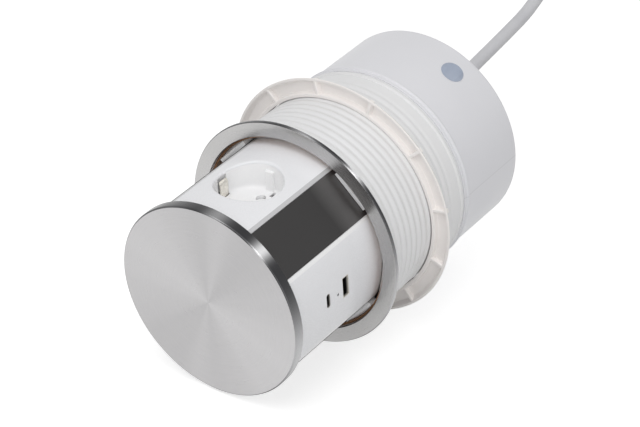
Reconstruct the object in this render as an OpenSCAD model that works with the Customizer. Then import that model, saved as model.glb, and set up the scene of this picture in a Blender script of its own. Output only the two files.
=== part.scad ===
// Pop-up desk socket: an eight-sided power column that rises through a ring in a desk top.
// +Z runs up the column. The origin is on the axis, at the desk top under the ring's flange.
// The column is drawn raised, the ring nut slack on its thread.

/* [Lid] */
// Diameter of the round lid
lid_d = 120; // [116:0.5:130]
// Height of the lid's rim
lid_h = 6.5; // [5:0.5:9]
// Sheet thickness of the lid
lid_wall = 1.2; // [0.8:0.1:2]
// Bevel between the lid's face and its rim
lid_bevel = 1; // [0.4:0.1:1.6]

/* [Column] */
// Distance from the lid's edge in to a white face
face_inset = 9; // [8.5:0.1:10]
// Width of a white face
face_w = 58.8; // [56:0.2:59.5]
// Crown of a white face above its edges
face_crown = 5.2; // [3:0.1:6]
// Height of the raised column between the guide collar and the lid
rise = 74.5; // [70:0.5:80]
// Thickness of the white face plates
plate_t = 3; // [2.4:0.1:4]
// Thickness of the steel corner panels
panel_t = 1.2; // [0.8:0.1:1.6]
// Bevel along the upright edges of the white plates
edge_bevel = 0.9; // [0.4:0.1:1.4]
// Depth of a post behind a steel panel
post_t = 5.5; // [4.5:0.1:7]
// Thickness of the frame's top plate
deck_t = 4; // [3:0.5:6]
// Thickness of the column's foot
foot_t = 4; // [3:0.5:6]

/* [Sockets] */
// Height of the socket centres above the desk
socket_z = 37.2; // [35:0.2:40]
// Diameter of a socket well
well_d = 39; // [38.5:0.1:39.5]
// Depth of a socket well
well_depth = 17.5; // [17:0.1:18]
// Rounding of the well's lip
lip_r = 1.6; // [1:0.1:2.4]
// Wall of the well
well_wall = 1.6; // [1.2:0.1:2.2]
// Floor of the well
floor_t = 1.6; // [1.4:0.1:2.4]
// Turn of the socket in its face
socket_turn = 90; // [0:5:90]
// Distance between the pin holes
pin_pitch = 19; // [19:0.1:19.4]
// Diameter of a pin hole
pin_hole_d = 5.8; // [5.2:0.1:6.2]
// Width of an earth clip
clip_w = 7; // [6:0.5:8]
// Width of a guide key in a mains well
key_w = 5.4; // [4:0.1:6]
// Height of a guide key above the well's wall
key_in = 2; // [1.5:0.1:2.5]
// Thickness of the earth strap
strap_t = 0.8; // [0.6:0.1:1.2]
// Outer diameter of a contact sleeve
sleeve_d = 6; // [5.6:0.1:6.2]
// Bore of a contact sleeve
sleeve_bore_d = 4.9; // [4.8:0.1:5]
// Thickness of a shutter disc
shutter_t = 1.6; // [1.2:0.1:2]
// Diameter of a shutter's pivot
pivot_d = 3; // [2.4:0.1:3.4]
// Turn that opens a shutter
shutter_swing = 40; // [36:1:50]

/* [USB] */
// Sideways place of the USB ports from the middle of their face
usb_shift = 0; // [-4:0.5:4]
// Height of the larger USB port
usb_a_z = 29; // [27:0.5:30]
// Height of the smaller USB port
usb_c_z = 45.5; // [44:0.5:48]
// Height of the status light
led_z = 36.5; // [35.5:0.5:39]
// Sideways place of the status light from the ports
led_shift = -1.2; // [-3:0.1:3]
// Width of the larger port
usb_a_w = 13.2; // [13:0.1:13.6]
// Height of the larger port
usb_a_h = 5.8; // [5.6:0.1:6.2]
// Width of the smaller port
usb_c_w = 9; // [8.8:0.1:9.2]
// Height of the smaller port
usb_c_h = 3.3; // [3.2:0.1:3.5]
// Wall of a port's metal shell
shell_wall = 0.4; // [0.3:0.05:0.5]
// Depth of the ports down to their board
port_depth = 14; // [13:0.5:16]
// Diameter of the status light
led_d = 1.6; // [1.2:0.1:2.4]
// Width of the charger board
board_w = 36; // [32:1:40]
// Height of the charger board
board_h = 46; // [42:1:48]
// Thickness of the charger board
board_t = 1.6; // [1.2:0.1:2]

/* [Desk ring] */
// Running gap between the lid and the felt ring
lid_gap = 0.7; // [0.5:0.1:1.2]
// Thickness of the felt ring
felt_t = 1.35; // [1:0.05:2]
// Height of the felt ring
felt_h = 5.6; // [4:0.1:5.8]
// Height of the ring above the desk
ring_h = 2.1; // [1.8:0.1:3]
// Sheet thickness of the ring
ring_sheet = 1.1; // [0.8:0.1:1.4]
// Width of the flange outside the threaded sleeve
flange_w = 7.7; // [6:0.1:10]
// Depth of the guide collar's underside below the desk top
collar_h = 10; // [8:0.5:12]
// Depth of the guide collar's top below the desk top
collar_drop = 6; // [5:0.5:7]
// Thickness of the collar's pads beside the steel panels
pad_t = 2.5; // [2:0.1:2.7]
// Radius of the notches in the collar's corners
notch_r = 1.9; // [1.4:0.1:2.2]

/* [Sleeve and nut] */
// Wall of the sleeve's neck
neck_wall = 1.6; // [1.4:0.1:2.4]
// Height of the plain neck under the flange
neck_h = 5; // [4:0.5:8]
// Pitch of the thread
thread_pitch = 5; // [4:0.5:6]
// Depth of the thread
thread_depth = 0.9; // [0.6:0.1:1]
// Depth of the sleeve's lower edge below the desk
sleeve_depth = 79; // [72:0.5:84]
// Depth of the nut's top below the desk
nut_depth = 44; // [30:1:50]
// Height of the nut
nut_h = 8; // [6:0.5:11]
// Width of the nut outside the thread
nut_w = 12.8; // [9:0.1:16]
// Width of the nut's outer rim
nut_rim = 1.6; // [1.2:0.1:4]
// Wall of the nut's inner collar
nut_collar = 2.4; // [2:0.1:3]
// Depth of the recess between the nut's collar and rim
nut_recess = 3.2; // [1.5:0.1:4]
// Number of ribs in the nut
nut_ribs = 12; // [8:1:16]
// Thickness of a rib
rib_t = 2; // [1.4:0.1:3]

/* [Housing] */
// Depth of the housing's end below the desk
housing_depth = 136.6; // [134:0.2:142]
// Step of the housing outside the thread
housing_step = 0.5; // [0.2:0.1:1.5]
// Wall of the housing
housing_wall = 2.2; // [1.8:0.1:2.8]
// Floor of the housing
housing_floor = 3; // [2.4:0.1:4]
// Rounding of the housing's end
end_r = 3; // [1:0.5:4]
// Radius of the beads at the joint
bead_r = 1.3; // [0.8:0.1:1.6]
// Diameter of the blank label
label_d = 14; // [10:0.5:18]
// Thickness of the blank label
label_t = 0.3; // [0.2:0.1:0.5]

/* [Spring and latch] */
// Mean diameter of the lifting spring
spring_d = 32; // [31:0.5:36]
// Wire of the lifting spring
wire_d = 2.2; // [1.8:0.1:2.6]
// Number of coils in the lifting spring
spring_turns = 12; // [9:1:14]
// Side of the latch box
latch_w = 13; // [11:0.5:14]
// Diameter of the latch plunger
plunger_d = 6; // [5:0.5:7]

/* [Cord] */
// Diameter of the mains cord
cord_d = 8.5; // [8:0.1:9]
// Diameter of the lead inside the housing
lead_d = 6.5; // [6:0.1:7]
// Length of the strain relief outside the housing
boot_h = 31.4; // [24:0.2:36]
// Outer radius of the coil, to the middle of the cord
coil_r = 57; // [54:0.5:60]
// Straight tail between the coil and the plug
tail_h = 40; // [36:1:50]
// Diameter of the plug
plug_d = 37; // [36:0.5:38]
// Length of the plug's body
plug_h = 36; // [32:0.5:42]

/* [Hidden] */
$fn = 96;

// Faces of the column: front is +X, left +Y, back -X and the USB side -Y
front = 0;
left = 90;
back = 180;
usb_side = -90;

// Clearances
press_gap = 0.1;     // between pieces fixed into one another
run_gap = 0.4;       // between the column and its guide collar
foot_gap = 0.6;      // between the foot and the sleeve
thread_gap = 0.4;    // between the thread's crests and the nut
stop_gap = 0.3;      // between pieces that meet at the end of a travel
face_gap = 0.05;     // between pieces that only lie side by side
pivot_gap = 0.08;    // between a shutter and its pivot, and a plunger and its bore
eps = 0.01;

// Radii, from the lid outwards
lid_r = lid_d / 2;
face_r = lid_r - face_inset;
felt_in_r = lid_r + lid_gap;
bore_r = felt_in_r + felt_t + press_gap;
thread_r = bore_r + neck_wall;
ring_r = thread_r + flange_w;
foot_r = bore_r - 2;
sleeve_in_r = foot_r + foot_gap;
housing_r = thread_r + housing_step;
housing_in_r = housing_r - housing_wall;
nut_in_r = thread_r + thread_gap;
nut_r = thread_r + nut_w;

// Heights
lid_top = rise + lid_h;
foot_top = -collar_h - stop_gap;
foot_bottom = foot_top - foot_t;
travel = rise - stop_gap;
floor_z = -housing_depth + housing_floor;
deck_z = rise - deck_t;
thread_top = -neck_h;
bead_step = 3;
spring_sides = 8;
thread_turns = floor((sleeve_depth - neck_h - 2 * bead_step) / thread_pitch);
spigot_h = 11;

// Column plan
half_w = face_w / 2;
plate_back = face_r - plate_t;
corner_x = face_r - edge_bevel;
flat_w = half_w - edge_bevel;
crown_r = (pow(flat_w, 2) + pow(face_crown, 2)) / (2 * face_crown);
crown_x = face_r + face_crown;
crown_mid = crown_x - crown_r;
panel_sum = corner_x + half_w;
post_sum = panel_sum - panel_t * sqrt(2) - 2 * face_gap;
post_in_sum = post_sum - post_t * sqrt(2);
post_edge = half_w + press_gap;
post_mid = (post_sum + post_in_sum) / 4;

// Socket depths, measured inwards from a white face
well_r = well_d / 2;
cup_r = well_r + well_wall;
floor_back = well_depth + floor_t;
strap_out = well_r - 0.8;
pocket_top = 1.4 + pow(cup_r, 2) / (2 * crown_r);
strap_front = pocket_top + 2.2;
key_top = 5;
key_slot_w = 2;
key_slot_l = 4.2;
key_slot_at = well_r - key_slot_l;
shutter_front = floor_back + 0.3;
strap_bar = shutter_front + shutter_t + 0.4;
strap_back = strap_bar + strap_t + 0.2;
carrier_r = pin_pitch / 2 + sleeve_d / 2 + 1.1;
carrier_front = floor_back + face_gap;
carrier_h = crown_x - carrier_front - carrier_r - stop_gap;
shutter_r = carrier_r - 1.1 - stop_gap;
pocket_back = shutter_front + shutter_t + 0.3;
sleeve_front = pocket_back + 0.2;
carrier_end = 0.5;

// Screws: shank radius, head radius and head height
screw_r = 1.5;
head_r = 2.8;
head_h = 1.8;
post_grip = 8;
small_screw_r = 0.95;
small_head_r = 1.9;
small_head_h = 1.4;
slot_w = 0.8;
slot_deep = 0.7;
lid_screw_at = 24;

// Lead and cord: the gland's place in the floor, and the cord's route below it
gland_at = [-20, 30];
gland_r = norm(gland_at);
gland_turn = atan2(gland_at[1], gland_at[0]);
gland_flange = 6.2;
gland_hole_r = 5.6;
boot_end = -housing_depth - boot_h;
clamp_h = 8;
clamp_w = 26;
clamp_screw_at = 9.6;
clamp_z = floor_z + 2.5;
cord_route = [
    [-20, 30, -168], [-20, 30, -186], [-19.4, 30, -204], [-17.8, 30, -222], [-15.7, 30, -238],
    [-13.4, 30, -258], [-10.8, 30, -279], [-7.8, 30, -298], [-3.6, 30, -311], [1.5, 30, -325],
    [4, 30.7, -336], [5.8, 33, -347], [7, 36.5, -357.5], [7.7, 41.4, -367.5], [8, 47.6, -377.6],
    [8, 55, -385]];
coil_from = cord_route[len(cord_route) - 1];
coil_angle = 45;
coil_turns = 4.125;
coil_pitch = cord_d + 0.55;
coil_steps = 24;
tie_angle = 22;
tie_w = 7;
tie_t = 1.4;
tie_gap = 0.5;

// Vector helpers and the swept tube
function unit(v) = v / norm(v);
function smooth(t) = t * t * (3 - 2 * t);
function tangent(p, i) = unit(p[min(i + 1, len(p) - 1)] - p[max(i - 1, 0)]);
function side(ref, t) = unit(ref - (ref * t) * t);
function ring(p, t, ref, r, n) = let(u = side(ref, t), v = cross(t, u))
    [for (k = [0 : n - 1]) p + r * cos(360 * k / n) * u + r * sin(360 * k / n) * v];
function least(p, skip) = min([for (i = [0 : len(p) - 1 - skip])
    for (j = [i + skip : len(p) - 1]) norm(p[i] - p[j])]);

// A closed tube of n sides along the points p; refs gives the side that each ring faces
module tube(p, refs, r, n) {
    last = len(p) - 1;
    points = [for (i = [0 : last]) each ring(p[i], tangent(p, i), refs[i], r, n)];
    sides = [for (i = [0 : last - 1]) for (k = [0 : n - 1])
        let(a = i * n + k, b = i * n + (k + 1) % n, c = a + n, d = b + n)
        each [[a, c, d], [a, d, b]]];
    caps = [for (k = [1 : n - 2]) each [[0, k, k + 1], [last * n, last * n + k + 1, last * n + k]]];
    polyhedron(points, concat(sides, caps), convexity = 10);
}

// Turns a face's own axes into place: z points out of the face, x down and y sideways
module on_face(angle, y, z) {
    rotate([0, 0, angle]) translate([crown_x, y, z]) rotate([0, 90, 0]) children();
}

module in_socket(angle) {
    on_face(angle, 0, socket_z) rotate([0, 0, socket_turn]) children();
}

module at_pins() {
    for (s = [-1, 1]) translate([0, s * pin_pitch / 2, 0]) children();
}

module at_posts() {
    for (a = [0 : 90 : 270]) rotate([0, 0, a]) translate([post_mid, post_mid, 0]) children();
}

module disc(r, low, high) {
    translate([0, 0, low]) cylinder(r = r, h = high - low);
}

module washer(r_out, r_in, low, high) {
    difference() {
        disc(r_out, low, high);
        disc(r_in, low - 1, high + 1);
    }
}

module block(x, y, low, high) {
    translate([-x / 2, -y / 2, low]) cube([x, y, high - low]);
}

// A screw whose head's seat is at z = 0, with its shank along +Z
module screw(shank, r, head, height) {
    disc(r, -eps, shank);
    difference() {
        disc(head, -height, 0);
        block(slot_w, head * 1.5, -height - 1, -height + slot_deep);
        block(head * 1.5, slot_w, -height - 1, -height + slot_deep);
    }
}

// Fixed pieces: ring, sleeve, collar, felt and housing
module desk_ring() {
    edge = 0.5;
    color("silver") rotate_extrude() polygon([
        [bore_r, ring_h - ring_sheet], [bore_r, ring_h - edge / 2], [bore_r + edge / 2, ring_h],
        [ring_r - edge, ring_h], [ring_r, ring_h - edge], [ring_r, 0],
        [ring_r - ring_sheet, 0], [ring_r - ring_sheet, ring_h - ring_sheet]]);
}

function thread_profile() = [for (i = [0 : 6 * thread_turns])
    [thread_r - thread_depth * (1 - cos(60 * i)) / 2, thread_top - thread_pitch * i / 6]];

function bead(r, z) = [for (a = [90 : -30 : -90]) [r + bead_r * cos(a) - 0.2, z + bead_r * sin(a)]];

module threaded_sleeve() {
    flange_r = ring_r - ring_sheet - face_gap;
    flange_top = ring_h - ring_sheet - face_gap;
    spigot_r = housing_in_r - press_gap;
    color("white") rotate_extrude() polygon(concat(
        [[bore_r, flange_top], [flange_r, flange_top], [flange_r, 0], [thread_r, 0]],
        thread_profile(),
        bead(thread_r, -sleeve_depth + bead_step),
        [[thread_r, -sleeve_depth], [spigot_r, -sleeve_depth],
         [spigot_r, -sleeve_depth - spigot_h], [sleeve_in_r, -sleeve_depth - spigot_h],
         [sleeve_in_r, -collar_h], [bore_r, -collar_h]]));
}

// Outline of the column with every side moved out by the gap
function column_outline(gap) = let(
    x = corner_x + gap, y = half_w + gap * (sqrt(2) - 1), e = y - edge_bevel, r = crown_r + gap,
    side = [for (k = [-8 : 8]) let(v = e * k / 8) [crown_mid + sqrt(r * r - v * v), v]])
    [for (a = [0 : 90 : 270]) each [for (q = concat(side, [[x, y], [y, x]]))
        [q[0] * cos(a) - q[1] * sin(a), q[0] * sin(a) + q[1] * cos(a)]]];

module guide_collar() {
    height = collar_h - collar_drop;
    pad_in = panel_sum / sqrt(2) + run_gap;
    pad_w = sqrt(2) * (corner_x - half_w) - 2 * notch_r;
    color("ivory") {
        difference() {
            disc(bore_r - press_gap, -collar_h, -collar_drop);
            translate([0, 0, -collar_h - 1]) linear_extrude(height + 2) polygon(column_outline(run_gap));
            for (a = [0 : 90 : 270]) rotate([0, 0, a]) for (s = [-1, 1])
                translate([corner_x, s * half_w, -collar_h - 1]) cylinder(r = notch_r, h = height + 2);
        }
        intersection() {
            disc(felt_in_r - stop_gap, -collar_h, 0);
            for (a = [45 : 90 : 315]) rotate([0, 0, a]) translate([pad_in + pad_t / 2, 0, 0])
                block(pad_t, pad_w, -collar_drop - eps, -stop_gap);
        }
    }
}

module felt_ring() {
    low = -collar_drop + face_gap;
    color("saddlebrown") washer(felt_in_r + felt_t, felt_in_r, low, low + felt_h);
}

module lower_housing() {
    top = -sleeve_depth - face_gap;
    color("white") difference() {
        union() {
            rotate_extrude() polygon(concat(
                [[0, -housing_depth], [housing_r - end_r, -housing_depth]],
                [for (a = [-75 : 15 : 0]) [housing_r - end_r + end_r * cos(a),
                    -housing_depth + end_r + end_r * sin(a)]],
                [for (q = bead(housing_r, top - bead_step)) [q[0], 2 * (top - bead_step) - q[1]]],
                [[housing_r, top], [housing_in_r, top], [housing_in_r, floor_z], [0, floor_z]]));
            spring_post();
            clamp_frame() for (s = [-1, 1]) translate([0, s * clamp_screw_at, 0])
                disc(head_r, floor_z - eps, clamp_z - face_gap);
        }
        translate(gland_at) disc(gland_hole_r, -housing_depth - 1, floor_z + 1);
        clamp_frame() for (s = [-1, 1]) translate([0, s * clamp_screw_at, 0])
            disc(screw_r + face_gap, -housing_depth + 1, clamp_z + 1);
    }
}

module spring_post() {
    post_r = spring_d / 2 * cos(180 / spring_sides) - wire_d / 2 - 0.5;
    post_top = foot_bottom - travel - 10;
    washer(post_r, post_r - 2.4, floor_z - eps, post_top);
}

module clamp_frame() {
    rotate([0, 0, gland_turn]) translate([gland_r, 0, 0]) children();
}

module label_disc() {
    label_z = -118;
    label_turn = -30;
    color("lightsteelblue") intersection() {
        washer(housing_r + face_gap + label_t, housing_r + face_gap, label_z - label_d, label_z + label_d);
        rotate([0, 0, label_turn]) translate([0, 0, label_z]) rotate([0, 90, 0])
            cylinder(d = label_d, h = housing_r + 5);
    }
}

// Spring, latch, lead and clamp inside the housing
module main_spring() {
    steps = spring_sides * spring_turns;
    low = floor_z + wire_d / 2 + face_gap;
    high = foot_bottom - wire_d / 2 - face_gap;
    refs = [for (i = [0 : steps]) let(a = 360 * i / spring_sides) [cos(a), sin(a), 0]];
    p = [for (i = [0 : steps]) spring_d / 2 * refs[i] + [0, 0, low + (high - low) * i / steps]];
    echo(spring_least_gap = (high - low) / spring_turns - wire_d);
    color("silver") tube(p, refs, wire_d / 2, 6);
}

latch_margin = 2;
latch_at = sqrt(pow(housing_in_r, 2) - pow(latch_w / 2, 2)) - latch_w / 2 - latch_margin;
latch_top = foot_bottom - travel - 10;
strike_t = 1;
strike_r = 5;
plunger_top = foot_bottom - strike_t - travel - stop_gap;
plunger_h = 24;
plunger_stroke = 5;

module touch_latch() {
    color("dimgray") translate([latch_at, 0, 0]) difference() {
        block(latch_w, latch_w, floor_z, latch_top);
        disc(plunger_d / 2 + pivot_gap, plunger_top - plunger_h - plunger_stroke - 1, latch_top + 1);
    }
}

module latch_plunger() {
    color("gainsboro") translate([latch_at, 0, 0]) disc(plunger_d / 2, plunger_top - plunger_h, plunger_top);
}

module latch_strike() {
    color("silver") translate([latch_at, 0, 0]) disc(strike_r, foot_bottom - strike_t, foot_bottom);
}

// The lead climbs in a wide helix that starts and ends upright
module inner_lead() {
    turns = 3;
    steps = 72;
    low = clamp_z;
    high = foot_top - 1;
    start = (clamp_h + 1) / (high - low);
    function turn(t) = let(u = max(0, t - start) / (1 - start))
        gland_turn + 360 * turns * (u - sin(360 * u) / (2 * PI));
    refs = [for (i = [0 : steps]) let(a = turn(i / steps)) [cos(a), sin(a), 0]];
    p = [for (i = [0 : steps]) gland_r * refs[i] + [0, 0, low + (high - low) * i / steps]];
    echo(lead_least_gap = least(p, 12) - lead_d);
    color("whitesmoke") tube(p, refs, lead_d / 2, 6);
}

module cord_clamp() {
    color("gainsboro") clamp_frame() difference() {
        block(12, clamp_w, clamp_z, clamp_z + clamp_h);
        disc(lead_d / 2 + press_gap, clamp_z - 1, clamp_z + clamp_h + 1);
        for (s = [-1, 1]) translate([0, s * clamp_screw_at, 0])
            disc(screw_r + press_gap, clamp_z - 1, clamp_z + clamp_h + 1);
    }
}

module clamp_screws() {
    color("silver") clamp_frame() for (s = [-1, 1]) translate([0, s * clamp_screw_at, clamp_z + clamp_h])
        mirror([0, 0, 1]) screw(clamp_h + 3, screw_r, head_r, head_h);
}

module cord_gland() {
    color("gainsboro") translate(gland_at) rotate_extrude() polygon([
        [0, clamp_z - face_gap], [gland_flange, clamp_z - face_gap], [gland_flange, floor_z + face_gap],
        [gland_hole_r - press_gap, floor_z + face_gap],
        [gland_hole_r - press_gap, -housing_depth - face_gap],
        [9, -housing_depth - face_gap], [9, -housing_depth - 3.5], [7.4, -housing_depth - 5],
        [cord_d / 2 + 1.2, boot_end], [0, boot_end]]);
}

// Mains cord, coil, tie and plug
module cord_lead() {
    color("whitesmoke") tube(cord_route, [for (q = cord_route) [1, 0, 0]], cord_d / 2, 10);
}

// The coil lies in a plane across X: in by one pitch a turn, over to the second layer, and out again
coil_dir = [0, sin(coil_angle), -cos(coil_angle)];
coil_start = coil_from + cord_d * coil_dir;
coil_mid = coil_start - coil_r * [0, cos(coil_angle), sin(coil_angle)];
function coil_radius(t) = coil_r - coil_pitch * min(t, coil_turns - t);
function coil_layer(t) = coil_pitch * smooth(min(1, max(0, (t - coil_turns / 2) * 2 + 0.5)));
function coil_point(t) = let(a = coil_angle - 360 * t)
    coil_mid + [coil_layer(t), coil_radius(t) * cos(a), coil_radius(t) * sin(a)];
coil_count = round(coil_steps * coil_turns);
coil_loops = [for (i = [0 : coil_count]) coil_point(coil_turns * i / coil_count)];
coil_end = coil_loops[coil_count];
coil_path = concat([coil_from], coil_loops,
    [coil_end - [0, 0, cord_d], coil_end - [0, 0, tail_h]]);

module cord_coil() {
    echo(coil_least_gap = least(coil_loops, coil_steps / 2) - cord_d);
    echo(coil_length = PI * (2 * coil_r - coil_pitch * coil_turns / 2) * coil_turns);
    color("whitesmoke") tube(coil_path, [for (q = coil_path) [1, 0, 0]], cord_d / 2, 6);
}

module cord_tie() {
    inner = coil_r - coil_pitch * coil_turns / 2 - cord_d / 2 - tie_gap;
    outer = coil_r + cord_d / 2 + tie_gap;
    wide = coil_pitch + cord_d + 2 * tie_gap;
    color("dimgray") translate(coil_mid) rotate([tie_angle, 0, 0])
        translate([coil_pitch / 2, (inner + outer) / 2, 0]) difference() {
            block(wide + 2 * tie_t, outer - inner + 2 * tie_t, -tie_w / 2, tie_w / 2);
            block(wide, outer - inner, -tie_w, tie_w);
        }
}

plug_top = coil_end[2] - tail_h;
plug_neck = 22;
plug_face = plug_top - plug_neck - plug_h;
plug_pin_h = 19;
plug_pin_r = 2.4;
plug_pin_seat = 6;
plug_rim = 15;
plug_step = 3;
strip_w = 5;
strip_t = 0.8;

module at_plug() {
    translate([coil_end[0], coil_end[1], 0]) children();
}

module plug_body() {
    r = plug_d / 2;
    grip = 4;
    color("whitesmoke") at_plug() difference() {
        rotate_extrude() polygon([
            [0, plug_top], [cord_d / 2 + 1, plug_top], [cord_d / 2 + 3, plug_top - plug_neck],
            [r - grip - 2, plug_top - plug_neck - plug_step],
            [r - grip, plug_top - plug_neck - 2 * plug_step],
            [r - grip, plug_face + plug_rim + plug_step], [r, plug_face + plug_rim],
            [r, plug_face + 1], [r - 1, plug_face],
            [0, plug_face]]);
        for (s = [-1, 1]) translate([s * (r - strip_t / 2 + eps), 0, 0])
            block(strip_t + 2 * face_gap, strip_w + 2 * face_gap, plug_face - 1, plug_face + plug_rim - 1);
        for (s = [-1, 1]) translate([0, s * pin_pitch / 2, 0])
            disc(plug_pin_r + face_gap, plug_face - 1, plug_face + plug_pin_seat);
        for (s = [-1, 1]) translate([0, s * r, 0])
            block(key_w + 1, 2 * (r - well_r + key_in + 0.5), plug_face - 1, plug_face + plug_rim + 1);
    }
}

module plug_pins() {
    color("silver") at_plug() for (s = [-1, 1]) translate([0, s * pin_pitch / 2, 0])
        rotate_extrude() polygon([[0, plug_face + plug_pin_seat - press_gap],
            [plug_pin_r, plug_face + plug_pin_seat - press_gap], [plug_pin_r, plug_face - plug_pin_h + 1],
            [plug_pin_r - 1, plug_face - plug_pin_h], [0, plug_face - plug_pin_h]]);
}

module plug_earth_strip() {
    color("silver") at_plug() for (s = [-1, 1]) translate([s * (plug_d / 2 - strip_t / 2), 0, 0])
        block(strip_t, strip_w, plug_face + 0.2, plug_face + plug_rim - 1 - press_gap);
}

// Ring nut
module ring_nut() {
    top = -nut_depth;
    low = top - nut_h;
    web_top = top - nut_recess;
    web_low = web_top - 1.4;
    edge = 0.4;
    taper = 0.87;
    draft = 0.3;
    slope = 2;
    foot = 0.7;
    collar_r = nut_in_r + nut_collar;
    rim_r = nut_r - nut_rim;
    skirt_r = nut_r - taper * (top - edge - web_low);
    rib_in = collar_r - 0.5;
    rib_l = rim_r + 0.5 - rib_in;
    color("linen") {
        rotate_extrude() polygon([
            [nut_in_r, low], [collar_r, low], [collar_r, web_low - foot], [collar_r + foot, web_low],
            [skirt_r, web_low], [nut_r, top - edge], [nut_r - edge, top], [rim_r, top],
            [rim_r - slope, web_top], [collar_r + draft, web_top], [collar_r, top], [nut_in_r, top]]);
        for (i = [0 : nut_ribs - 1]) rotate([0, 0, 10 + 360 * i / nut_ribs])
            translate([rib_in, -rib_t / 2, web_top - eps])
                cube([rib_l, rib_t, nut_recess - 0.2]);
    }
}

// Lid, frame and foot of the column
module lid_plate() {
    color("silver") rotate_extrude() polygon([
        [0, lid_top], [lid_r - lid_bevel, lid_top], [lid_r - lid_bevel * 0.3, lid_top - lid_bevel * 0.3],
        [lid_r, lid_top - lid_bevel], [lid_r, rise], [lid_r - lid_wall, rise],
        [lid_r - lid_wall, lid_top - lid_wall], [0, lid_top - lid_wall]]);
}

module at_lid_screws() {
    for (a = [0 : 90 : 270]) rotate([0, 0, a]) translate([lid_screw_at, lid_screw_at, 0]) children();
}

module lid_core() {
    color("white") difference() {
        disc(lid_r - lid_wall - press_gap, rise, lid_top - lid_wall - face_gap);
        at_lid_screws() disc(screw_r + face_gap, rise - 1, lid_top - lid_wall - 1);
    }
}

module lid_screws() {
    color("silver") at_lid_screws() translate([0, 0, deck_z])
        screw(deck_t + lid_h - lid_wall - 1.5, screw_r, head_r, head_h);
}

module column_frame() {
    deck_edge = plate_back - face_gap;
    color("gainsboro") difference() {
        union() {
            translate([0, 0, deck_z]) linear_extrude(deck_t) polygon(
                [for (a = [0 : 90 : 270]) each [for (q = [[deck_edge, post_sum - deck_edge],
                    [post_sum - deck_edge, deck_edge]])
                    [q[0] * cos(a) - q[1] * sin(a), q[0] * sin(a) + q[1] * cos(a)]]]);
            for (a = [0 : 90 : 270]) rotate([0, 0, a]) translate([0, 0, foot_top])
                linear_extrude(rise - foot_top) polygon([[post_sum - post_edge, post_edge],
                    [post_edge, post_sum - post_edge], [post_edge, post_in_sum - post_edge],
                    [post_in_sum - post_edge, post_edge]]);
        }
        at_lid_screws() disc(screw_r + press_gap, deck_z - 1, rise + 1);
        at_posts() disc(screw_r + face_gap, foot_top - 1, foot_top + post_grip + 1);
    }
}

module column_foot() {
    color("white") difference() {
        disc(foot_r, foot_bottom, foot_top);
        translate(gland_at) disc(lead_d / 2 + run_gap, foot_bottom - 1, foot_top + 1);
        at_posts() disc(screw_r + press_gap, foot_bottom - 1, foot_top + 1);
        at_posts() disc(head_r + press_gap, foot_bottom - 1, foot_bottom + head_h);
    }
}

module foot_screws() {
    color("silver") at_posts() translate([0, 0, foot_bottom + head_h])
        screw(foot_t - head_h + post_grip, screw_r, head_r, head_h);
}

terminal_w = 22;
terminal_h = 15;
terminal_deep = 16;
terminal_pitch = 7;
terminal_sink = 3;
terminal_r = 2.3;
wire_hole_d = 4;
wire_hole_z = 5;

module at_terminals() {
    for (i = [-1 : 1]) translate([0, terminal_pitch * i, 0]) children();
}

module terminal_block() {
    color("whitesmoke") difference() {
        block(terminal_deep, terminal_w, foot_top, foot_top + terminal_h);
        at_terminals() disc(terminal_r + press_gap, foot_top + terminal_h - terminal_sink, foot_top + terminal_h + 1);
        at_terminals() translate([-terminal_deep / 2 - 1, 0, foot_top + wire_hole_z]) rotate([0, 90, 0])
            cylinder(d = wire_hole_d, h = terminal_deep + 2);
    }
}

module terminal_screws() {
    color("silver") at_terminals() difference() {
        disc(terminal_r, foot_top + terminal_h - terminal_sink, foot_top + terminal_h - 1);
        block(slot_w, terminal_r * 1.5, foot_top + terminal_h - 1 - slot_deep, foot_top + terminal_h);
    }
}

module corner_panel(angle) {
    edge = half_w + face_gap;
    color("dimgray") rotate([0, 0, angle]) translate([0, 0, foot_top]) linear_extrude(rise - foot_top)
        polygon([[panel_sum - edge, edge], [edge, panel_sum - edge],
            [edge, panel_sum - panel_t * sqrt(2) - edge], [panel_sum - panel_t * sqrt(2) - edge, edge]]);
}

// White face plates
// Round body whose side is a crowned face, sunk by the depth
module crown(depth, low, high) {
    translate([crown_mid, 0, 0]) disc(crown_r - depth, low, high);
}

module face_plate(angle) {
    rotate([0, 0, angle]) difference() {
        intersection() {
            crown(0, foot_top, rise);
            translate([0, 0, foot_top]) linear_extrude(rise - foot_top) polygon([
                [crown_x + 1, -flat_w], [crown_x + 1, flat_w], [face_r, flat_w], [corner_x, half_w],
                [plate_back, half_w], [plate_back, -half_w], [corner_x, -half_w], [face_r, -flat_w]]);
        }
        crown(plate_t, foot_top - 1, rise + 1);
    }
}

module socket_face(angle) {
    pocket_w = clip_w + 1;
    color("white") difference() {
        union() {
            face_plate(angle);
            intersection() {
                in_socket(angle) disc(cup_r, -floor_back, 0);
                rotate([0, 0, angle]) crown(plate_t / 2, 0, rise);
            }
        }
        in_socket(angle) {
            rotate_extrude() polygon(concat([[0, -well_depth], [well_r, -well_depth]],
                [for (a = [0 : 15 : 90]) [well_r + lip_r * (1 - cos(a)), -lip_r * (1 - sin(a))]],
                [[well_r + lip_r, 1], [0, 1]]));
            at_pins() disc(pin_hole_d / 2, -floor_back - 1, 0);
            for (s = [-1, 1]) translate([s * (strap_out + 0.4), 0, 0])
                block(2 * strap_t + 1.6, pocket_w, -floor_back - 1, -pocket_top);
            for (s = [-1, 1]) translate([s * (key_w / 2 + key_slot_w / 2), s * key_slot_at, 0])
                block(key_slot_w, key_slot_l, -floor_back - 1, -well_depth + 1);
        }
    }
    color("white") in_socket(angle) for (s = [-1, 1]) translate([0, s * (well_r - key_in / 2 + 0.2), 0])
        block(key_w, key_in + 0.4, -well_depth - eps, -key_top);
}

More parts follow.
